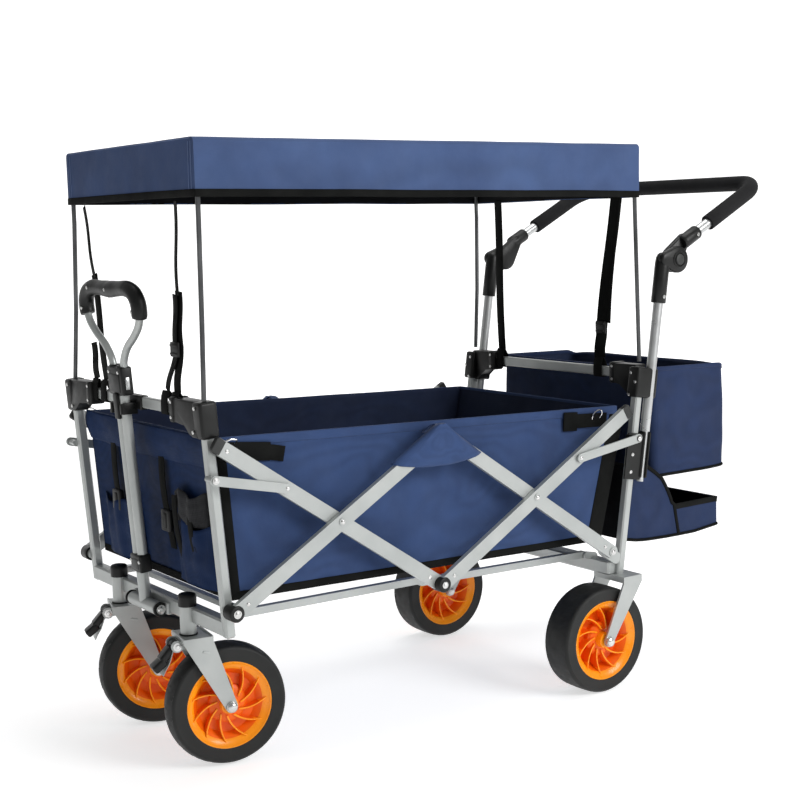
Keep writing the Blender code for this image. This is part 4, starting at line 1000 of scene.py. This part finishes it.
def build_caster_trim():
    for name, side in SIDES:
        top, turn = (CASTER[0], side * CASTER[1], 0.0), caster_turn(name)

        def at(x, y, z):
            return caster_point(name, side, x, y, z)

        piece("caster_cap_" + name, BLACK, FRONT, (lathe, CAP, 36, top))
        piece("caster_washer_" + name, BLACK, "caster_" + name, (lathe, WASHER, 36, top, (0, 0, 1), True))
        nuts, folds, rear = [], [], []
        for x in (-0.0172, 0.0292):
            folds.append((block, (0.0034, 0.064, 0.0034), at(x, 0, 0.2196), 0.0014, 3, turn))
        for lean in (-1, 1):
            axle = turn @ Vector((0, lean, 0))
            nuts += [(lathe, AXLE_NUT, 26, at(TRAIL, lean * 0.0375, FRONT_RADIUS), axle),
                     (lathe, LUG_NUT, 22, at(BRAKE_PIVOT[0], lean * 0.0168, BRAKE_PIVOT[1]), axle)]
            folds += [(block, (0.0115, 0.0022, 0.0042), at(0.0175, lean * 0.0331, 0.195), 0.001, 3,
                       turn @ Matrix.Rotation(radians(14), 3, "Y")),
                      (lathe, LUG, 26, at(BRAKE_PIVOT[0], lean * 0.0148, BRAKE_PIVOT[1]), axle)]
            rear.append((lathe, REAR_NUT, 26, (REAR_AXLE[0], side * REAR_AXLE[1] + lean * 0.0445,
                                               REAR_AXLE[2]), (0, lean, 0)))
        piece("caster_bolts_" + name, ZINC, "caster_" + name, *nuts)
        piece("caster_folds_" + name, GREY, "caster_" + name, *folds)
        pedal = [(block, size, at(x, 0, z), 0.0036, 4, turn @ pivot_y(radians(lean)))
                 for size, x, z, lean in (((0.027, 0.0225, 0.012), -0.0385, 0.193, 48),
                                          ((0.024, 0.0245, 0.0135), -0.051, 0.177, 38))]
        piece("brake_lever_" + name, BLACK, "brake_" + name, *pedal,
              (lathe, BARREL, 24, at(BRAKE_PIVOT[0], 0, BRAKE_PIVOT[1]), turn @ Y),
              replaces="brake_pedal_" + name)
        piece("brake_shoe_" + name, GREY, "brake_" + name,
              (sweep, [at(x, 0, z) for x, z in SHOE], tape(0.026, 0.0014), turn @ Y))
        piece("rear_axle_bolts_" + name, ZINC, REAR, *rear)


# ---- pull handle ----
PULL_PIVOT, PULL_LEAN = (-0.5776, 0.246), atan2(0.0721, 0.9974)
LOOP_LEG = [Vector((0.0085, height)) for height in (0.112, 0.3, 0.34)]
LOOP_HALF = [(0.0085, 0.354), (0.0115, 0.368), (0.019, 0.39), (0.0235, 0.408),
             (0.042, 0.429), (0.072, 0.448), (0.093, 0.466), (0.101, 0.486),
             (0.0985, 0.504), (0.086, 0.517), (0.064, 0.523), (0.032, 0.5225), (0.0, 0.521)]
GRIP_FROM = 0.478              # the grip covers the loop above this height


def handle_point(y, height, forward=0.0):
    """A point in the pull handle's plane; forward is towards its front face."""
    return Vector((PULL_PIVOT[0] - height * sin(PULL_LEAN) - forward * cos(PULL_LEAN), y,
                   PULL_PIVOT[1] + height * cos(PULL_LEAN) - forward * sin(PULL_LEAN)))


def smooth_route(corners, count):
    """Points on a smooth curve through a list of 2-D corners."""
    ends = [corners[0]] + corners + [corners[-1]]
    route = []
    for i in range(1, len(ends) - 2):
        p0, p1, p2, p3 = (Vector(p) for p in ends[i - 1:i + 3])
        route += [0.5 * (2 * p1 + (p2 - p0) * t + (2 * p0 - 5 * p1 + 4 * p2 - p3) * t ** 2
                         + (3 * p1 - p0 - 3 * p2 + p3) * t ** 3) for t in shares(count)[:-1]]
    return route + [Vector(corners[-1])]


def both_legs(half):
    """The whole loop's points from one half's (across, height) points."""
    return [handle_point(p.x, p.y) for p in half] + [handle_point(-p.x, p.y) for p in half[-2::-1]]


def build_pull_handle():
    face = Vector((-cos(PULL_LEAN), 0, -sin(PULL_LEAN)))
    upright = Matrix.Rotation(-PULL_LEAN, 3, "Y")
    both = (-1, 1)
    pivot_x, pivot_z = PULL_PIVOT

    def brick(size, y, height, edge, segments=3, forward=0.0):
        return (block, size, handle_point(y, height, forward), edge, segments, upright)

    def screws(forward, radius, height, *spots):
        return [(screw, handle_point(y, h, forward), face, radius, height) for y, h in spots]

    piece("handle_tubes", GREY, "pull_handle",
          *[(sweep, [handle_point(s * 0.0086, h) for h in (0.0855, 0.35)], circle(0.0083, 28), Y)
            for s in both],
          (sweep, [handle_point(0, h) for h in (0.0856, 0.3499)], tape(0.01, 0.007), Y),
          replaces="pull_outer_tube")
    half = smooth_route(LOOP_HALF, 8)
    piece("handle_loop", GREY, "pull_loop_slide",
          (sweep, both_legs(LOOP_LEG + half), circle(0.0062, 22), face), replaces="pull_loop")
    held = [p for p in half if p.y > GRIP_FROM]
    across = [p.x for p in held] + [-p.x for p in held[-2::-1]]
    swell = [1.0 + 0.055 * cos(2 * pi * y / 0.085) * (abs(y) < 0.07) for y in across]
    for i, share in enumerate((0.93, 0.985)):
        swell[i] *= share
        swell[-1 - i] *= share
    piece("handle_grip", BLACK, "pull_loop_slide",
          (sweep, both_legs(held), circle(0.0124, 28, 1.04), face, swell), degrees=50, replaces="pull_grip")
    piece("handle_grip_screws", ZINC, "pull_loop_slide",
          *screws(0.0121, 0.0028, 0.001, (0.0965, 0.489), (-0.0965, 0.489), (0.064, 0.5235),
                  (-0.005, 0.5215)))

    collars = [(lathe, [(0.0064, 0.0), (0.01, 0.0), (0.0098, 0.0034), (0.009, 0.0042), (0.0064, 0.0042)],
                28, handle_point(s * 0.0135, 0.395),
                handle_point(s * 0.0145, 1.0) - handle_point(s * 0.0125, 0.95), True) for s in both]
    piece("handle_coupler", BLACK, "pull_loop_slide", brick((0.0198, 0.0545, 0.0462), 0, 0.3739, 0.003),
          brick((0.0225, 0.042, 0.034), 0, 0.37, 0.004), *collars, replaces="pull_upper_coupler")
    # a small strip of silver alloy on each side of the upper coupler
    piece("handle_silver_strip", ALLOY, "pull_loop_slide",
          *[brick((0.007, 0.0016, 0.02), s * 0.0272, 0.37, 0.0006, 2) for s in both])
    piece("handle_coupler_screws", ZINC, "pull_loop_slide",
          *screws(0.01, 0.0028, 0.0014, (0.019, 0.388), (-0.016, 0.388)))
    piece("handle_collar", BLACK, "pull_handle", brick((0.0214, 0.0368, 0.0298), 0, 0.0702, 0.003),
          brick((0.0226, 0.025, 0.021), 0, 0.069, 0.003), replaces="pull_lower_coupler")
    piece("handle_pivot_bolts", ZINC, "pull_handle",
          *screws(0.0106, 0.003, 0.0014, (0.015, 0.074), (-0.015, 0.074)),
          *[(bolt_head, PULL_PIVOT, 0.0565, s, 0.0058, 0.003) for s in both])
    washer = [(0.0042, 0), (0.012, 0), (0.0122, 0.0012), (0.0118, 0.0026), (0.0042, 0.0026)]
    piece("handle_pivot_washers", BLACK, FRONT,
          *[(lathe, washer, 30, (pivot_x, s * 0.0526, pivot_z), (0, s, 0), True) for s in both])
    piece("handle_pivot_lugs", GREY, FRONT,
          *[(block, (0.02, 0.011, 0.02), (pivot_x + 0.018, s * 0.0595, pivot_z + 0.001), 0.0025, 3)
            for s in both])
    # a sprung clip on the cross bar that the tubes snap into
    bar = FRONT_BAR[0]
    piece("handle_clip", BLACK, FRONT,
          (block, (0.015, 0.068, 0.023), (bar - 0.0005, -0.004, 0.583), 0.0025, 3),
          *[(block, (0.0265, 0.0034, 0.019), (bar - 0.019, s * 0.0205 - 0.0005, 0.574), 0.0014)
            for s in both],
          *[(block, (0.006, 0.007, 0.017), (bar - 0.0318, s * 0.0185, 0.5735), 0.0016) for s in both])
    piece("handle_latch", BLACK, "pull_handle",
          brick((0.006, 0.015, 0.042), 0.0, 0.333, 0.0018, 3, 0.0105))


# ---- push handle ----
TUBE_FOOT, TUBE_TOP = (0.319, 0.468), (0.3546, 0.7026)
TUBE_LEAN = angle_of(TUBE_FOOT, TUBE_TOP)
PUSH_PIVOT, PUSH_SLEEVE, PUSH_ANGLE = (0.3955, 0.7812), (0.4545, 0.8307), radians(27.5)
TUBE_Y, PUSH_BAR_X, PUSH_BEND = 0.25, 0.6285, 0.045
COLLAR = [(0.0118, -0.004), (0.016, -0.004), (0.016, 0.0006), (0.0148, 0.0018), (0.0128, 0.0018),
          (0.0118, 0.0008)]
BUTTON = [(0, -0.0035), (0.0104, -0.0035), (0.0104, 0.003), (0.0096, 0.0046), (0.007, 0.0054),
          (0.0, 0.0056)]
# distance along the sleeve and share of its radius
LOWER_SLEEVE = ((0.0003, 0.93), (0.0016, 1.0), (0.05, 1.0), (0.074, 1.0), (0.083, 0.93),
                (0.089, 0.76), (0.0925, 0.45))
UPPER_SLEEVE = ((-0.043, 0.8), (-0.041, 0.94), (-0.038, 1.0), (-0.002, 1.0), (0.0, 0.94))


def tube_at(distance, start=TUBE_TOP):
    return step(start, TUBE_LEAN, distance)


def build_click_joint(name, side):
    y, out = side * TUBE_Y, (0, side, 0)

    def arm_at(distance):
        return step(PUSH_SLEEVE, PUSH_ANGLE, distance)

    def sleeve(at, stops, radius):
        reach, sizes = zip(*stops)
        return (sweep, [at_y(at(d), y) for d in reach], circle(radius, 32), Y, sizes)

    piece("joint_lower_" + name, BLACK, REAR, sleeve(tube_at, LOWER_SLEEVE, 0.0136),
          (hull_plate, tube_at(0.081), 0.0138, PUSH_PIVOT, 0.0245, side * 0.2506, side * 0.264, 0.003),
          (lathe, COLLAR, 40, at_y(PUSH_PIVOT, side * 0.264), out, True),
          replaces="push_joint_lower_" + name)
    piece("joint_button_" + name, DARK_GREY, "push_button_" + name,
          (lathe, BUTTON, 36, at_y(PUSH_PIVOT, side * 0.2625), out), replaces="push_button_" + name)
    piece("joint_upper_" + name, BLACK, "push_handle", sleeve(arm_at, UPPER_SLEEVE, 0.0134),
          (hull_plate, PUSH_PIVOT, 0.0238, arm_at(-0.033), 0.0128, side * 0.2375, side * 0.25, 0.0028),
          replaces="push_joint_upper_" + name)
    piece("joint_screw_lower_" + name, ZINC, REAR,
          (screw, at_y(tube_at(0.012), side * 0.2634), out, 0.0034, 0.0014))
    piece("joint_screw_upper_" + name, ZINC, "push_handle",
          (screw, at_y(arm_at(-0.0095), side * 0.2632), out, 0.0034, 0.0014))


def build_push_handle():
    for name, side in SIDES:
        build_click_joint(name, side)
    start = step(PUSH_SLEEVE, PUSH_ANGLE, 0.0006)
    leg = (PUSH_BAR_X - start[0]) / cos(PUSH_ANGLE)
    half = [(d, TUBE_Y) for d in (0.0, 0.02, 0.033, 0.0345, 0.09)]
    half += [(leg + PUSH_BEND * (sin(pi / 2 * t) - 1), TUBE_Y + PUSH_BEND * (cos(pi / 2 * t) - 1))
             for t in shares(14)]
    whole = half + [(leg, y) for y in (0.12, 0.06, 0.0, -0.06, -0.12)]
    whole += [(d, -y) for d, y in reversed(half)]
    route = [at_y(step(start, PUSH_ANGLE, d), y) for d, y in whole]
    piece("push_bar_tube", ALLOY, "push_handle", (sweep, route, circle(0.0096, 26), Z), replaces="push_bar")
    covered = route[2:-2]
    swell = [0.93] + [1.0] * (len(covered) - 2) + [0.93]
    piece("push_foam", FOAM, "push_handle", (sweep, covered, circle(0.0147, 32), Z, swell), degrees=50,
          replaces="push_foam_grip")
    for name, side in SIDES:
        y = side * TUBE_Y
        piece("push_upright_" + name, ALLOY, REAR,
              (sweep, [at_y(TUBE_FOOT, y), at_y(tube_at(-0.0002), y)], circle(0.0091, 30), Y),
              (sweep, [at_y(tube_at(d, TUBE_FOOT), y) for d in (-0.093, 0.001)], circle(0.0066, 22), Y),
              replaces="push_tube_" + name)


build_blocks()
build_caster_trim()
build_pull_handle()
build_push_handle()
build_webbing()


# ---- the tub's front panel ----
def panel_x(z):
    """The tub's front face at a height."""
    return TUB_TOP[0][0] + (0.545 - z) / 0.253 * 0.018


def front_strap(y, top, foot, width, count, out, aside):
    """A strap down the panel; out and aside say how far it stands off and drifts at each share."""
    spots = [(t, top + (foot - top) * t) for t in shares(count)]
    return [(panel_x(z) - out(t), y + aside(t), z) for t, z in spots], tape(width, 0.0018)


def front_pocket(name, y0, y1, top, foot, mat, seed):
    def bulge(u, t):
        free, z = sin(pi * u), top + (foot - top) * t
        out = 0.002 + 0.015 * free ** 0.8 * (0.75 + 0.25 * sin(pi * t))
        out += 0.8 * (0.0035 * sin(u * 19 + seed) * free * (1 - 0.6 * t)
                      + 0.003 * ripple((u * 3, t * 3, 0), 1.6, seed))
        return Vector((panel_x(z) - out, y0 + (y1 - y0) * u, z + 0.006 * sin(u * 9 + seed) * (1 - t)))

    pocket = cloth(name, [[[bulge(u, t) for u in shares(22)] for t in shares(16)]], mat, FRONT, 0.0012,
                   (-0.2, 0, 0.45))
    gather(pocket)


def build_front_panel():
    """The folded cuff, the straps with their buckles and the two gathered pockets."""
    def cuff_point(a, t):
        z = 0.547 - 0.05 * t
        puff = 0.0042 + 0.006 * sin(pi * min(1.0, 0.15 + 0.85 * t))
        puff += 0.0016 * ripple((a * 2, t, 0), 2.5, 61)
        sag = 0.005 * (1 - a * a) * (0.4 + 0.6 * t) - 0.0012 * ripple((a * 3, 0, t), 2, 62)
        return Vector((panel_x(z) - puff, a * (TUB_HALF - 0.004), z - sag))

    # the cuff uses the darker front navy: painted shade on the same fabric
    cuff = cloth("front_cuff", [[[cuff_point(-1 + 2 * u, t) for u in shares(44)] for t in shares(14)]],
                 NAVY_FRONT_SHADE, FRONT, 0.0014, (-0.2, 0, 0.45))
    gather(cuff)

    straps = []
    for y, foot in ((0.134, 0.33), (-0.052, 0.345)):
        straps.append((sweep, *front_strap(y, 0.5, foot, 0.02, 12, lambda t: 0.0045 + 0.004 * sin(pi * t),
                                           lambda t: 0.002 * sin(6 * t) - 0.01 * t), Y))
    for y, top, foot in ((-0.1, 0.44, 0.3), (-0.15, 0.43, 0.3), (0.06, 0.43, 0.31)):
        straps.append((sweep, *front_strap(
            y, top, foot, 0.016, 10, lambda t: 0.013 * sin(pi * min(1, 0.25 + t * 0.75)) + 0.003,
            lambda t: 0.012 * t * (1 if y > 0 else -1)), (0, 1, 0.1)))
    piece("front_straps", WEBBING, FRONT, *straps, degrees=50, fold=TUB_FOLD)

    # the two pockets use the darker front navy: painted shade on the same fabric
    front_pocket("front_pocket_left", -0.205, -0.075, 0.398, 0.299, NAVY_FRONT_SHADE, 71)
    front_pocket("front_pocket_right", 0.055, 0.2, 0.398, 0.299, NAVY_FRONT_SHADE, 74)
    front_pocket("front_net_left", -0.195, -0.085, 0.448, 0.396, MESH_NET, 77)

    buckles = []
    for y, z in ((-0.06, 0.392), (0.128, 0.4)):
        buckles += [(block, (0.009, 0.03, 0.036), (panel_x(z) - 0.01, y, z), 0.003, 3),
                    (block, (0.011, 0.012, 0.026), (panel_x(z) - 0.011, y, z), 0.0025)]
    piece("front_buckles", BLACK, FRONT, *buckles, fold=TUB_FOLD)


build_front_panel()

# ---- straps from the canopy to the cross bars ----
STRAP = 0.0225
HEM_END = 0.9
LOOP = ((-0.003, 0.026), (-0.0062, 0.017), (-0.0072, 0.008), (-0.0074, -0.006),
        (-0.0066, -0.0105), (0.0, -0.0118), (0.0066, -0.0105), (0.0074, -0.006),
        (0.0072, 0.008), (0.004, 0.017), (-0.001, 0.025))
# Each strap: its runs, given by (forward of the hem's end, across, height) points and a twist,
# the places where it goes round the cross bar, and its buckle.
FRONT_X, REAR_X, AT_FRONT_BAR, AT_REAR_BAR = -0.5765, 0.314, -0.004, 0.002
STRAPS = {
    "strap_front_left": ([
        ([(0, -0.167, HEM_END), (0, -0.162, 0.758)], 0.3),
        ([(0.0015, -0.1625, 0.764), (0.0015, -0.1605, 0.68), (AT_FRONT_BAR, -0.157, 0.609)], 0.0),
        ([(-0.002, -0.156, 0.759), (-0.002, -0.152, 0.67), (AT_FRONT_BAR - 0.0005, -0.123, 0.609)],
         0.2)], (-0.157, -0.123), (-0.003, -0.152, 0.675)),
    "strap_front_right": ([
        ([(0, 0.179, HEM_END), (0, 0.148, 0.78)], 0.25),
        ([(0, 0.149, 0.786), (AT_FRONT_BAR, 0.108, 0.609)], 0.0),
        ([(-0.002, 0.16, 0.67), (AT_FRONT_BAR - 0.0005, 0.1455, 0.609)], 0.0)], (0.108, 0.1455), None),
    "strap_rear_right": ([
        ([(0, 0.164, HEM_END), (AT_REAR_BAR, 0.159, 0.5985)], 0.0)], (0.159,), None),
    "strap_rear_left": ([
        ([(0, -0.184, HEM_END), (0, -0.142, 0.655), (AT_REAR_BAR, -0.135, 0.5985)], -0.45),
        ([(0.002, -0.184, HEM_END), (0.002, -0.156, 0.665)], 0.3)],
        (-0.135,), (-0.003, -0.143, 0.656))}


def build_strap(name, runs, loops, buckle):
    body, hem_x, bar = ((FRONT, FRONT_X, FRONT_BAR) if "front" in name
                        else (REAR, REAR_X, REAR_BAR))
    origin, flat = X * hem_x, tape(STRAP, 0.0015)
    shapes = []
    for points, twist in runs:
        route = []
        for a, b in zip(points, points[1:]):
            for t in shares(10)[:-1]:
                sway = Vector((0.0012 * sin(2 * pi * t), 0.0014 * sin(pi * t), 0))
                route.append(origin + Vector(along(a, b, t)) + sway)
        shapes.append((sweep, route + [origin + Vector(points[-1])], flat, (twist, 1.0, 0)))
    shapes += [(sweep, [(bar[0] + dx, y, bar[1] + dz) for dx, dz in LOOP], flat, Y) for y in loops]
    piece(name, WEBBING, body, *shapes, degrees=45)
    if buckle:
        spot = origin + Vector(buckle)
        piece(name + "_buckle", BLACK, body, (block, (0.0052, STRAP + 0.004, 0.023), spot, 0.0016),
              *[(block, (0.0074, STRAP, 0.0036), spot + Vector((-0.0008, 0, dz)), 0.0012)
                for dz in (0.0065, -0.0065)])


for strap_name, strap in STRAPS.items():
    build_strap(strap_name, *strap)


# ---- stage: floor, backdrop and studio light ----
def build_stage():
    """A pale floor that curves up into a wall behind the wagon, as the camera sees it."""
    pale = Shader("studio_floor", (0.8, 0.8, 0.8), 0.75, Emission_Color=(1.0, 1.0, 1.0, 1.0),
                  Emission_Strength=0.6)
    near, reach, wall, bend, half = -8.0, 14.0, 9.0, 3.0, 16
    flat = Vector((-back.x, -back.y, 0)).normalized()
    aside = Vector((-flat.y, flat.x, 0))
    profile = [(near, 0.0)] + [(reach + bend * (sin(pi / 2 * t) - 1), bend * (1 - cos(pi / 2 * t)))
                               for t in shares(12)] + [(reach, wall)]
    bm = bmesh.new()
    rows = [[bm.verts.new(flat * d + aside * w + Z * h) for w in (-half, half)] for d, h in profile]
    for a, b in zip(rows, rows[1:]):
        bm.faces.new((a[0], a[1], b[1], b[0]))
    mesh = bpy.data.meshes.new("backdrop")
    bm.to_mesh(mesh)
    bm.free()
    mesh.materials.append(pale.material)
    mesh.shade_smooth()
    obj = bpy.data.objects.new("backdrop", mesh)
    scene.collection.objects.link(obj)


def area_light(name, spot, target, size, power):
    data = bpy.data.lights.new(name, "AREA")
    data.shape, data.energy = "RECTANGLE", power
    data.size, data.size_y = size
    lamp = bpy.data.objects.new(name, data)
    lamp.location = spot
    lamp.rotation_euler = (Vector(spot) - Vector(target)).to_track_quat("Z", "Y").to_euler()
    scene.collection.objects.link(lamp)


build_stage()
area_light("key", (1.3, -3.4, 2.1), (-0.1, 0, 0.45), (1.9, 1.6), 92)
area_light("top", (0.6, 0.2, 3.8), (0, 0, 0.5), (2.4, 2.0), 52)
area_light("backdrop_wash", (3.0, 5.0, 4.5), (6.0, 9.0, 0.5), (6.0, 4.0), 300)
scene.view_settings.view_transform = "Standard"
world = bpy.data.worlds.new("studio")
scene.world = world
world.use_nodes = True
world.node_tree.nodes["Background"].inputs["Color"].default_value = (1.0, 1.0, 1.0, 1.0)
world.node_tree.nodes["Background"].inputs["Strength"].default_value = 0.3
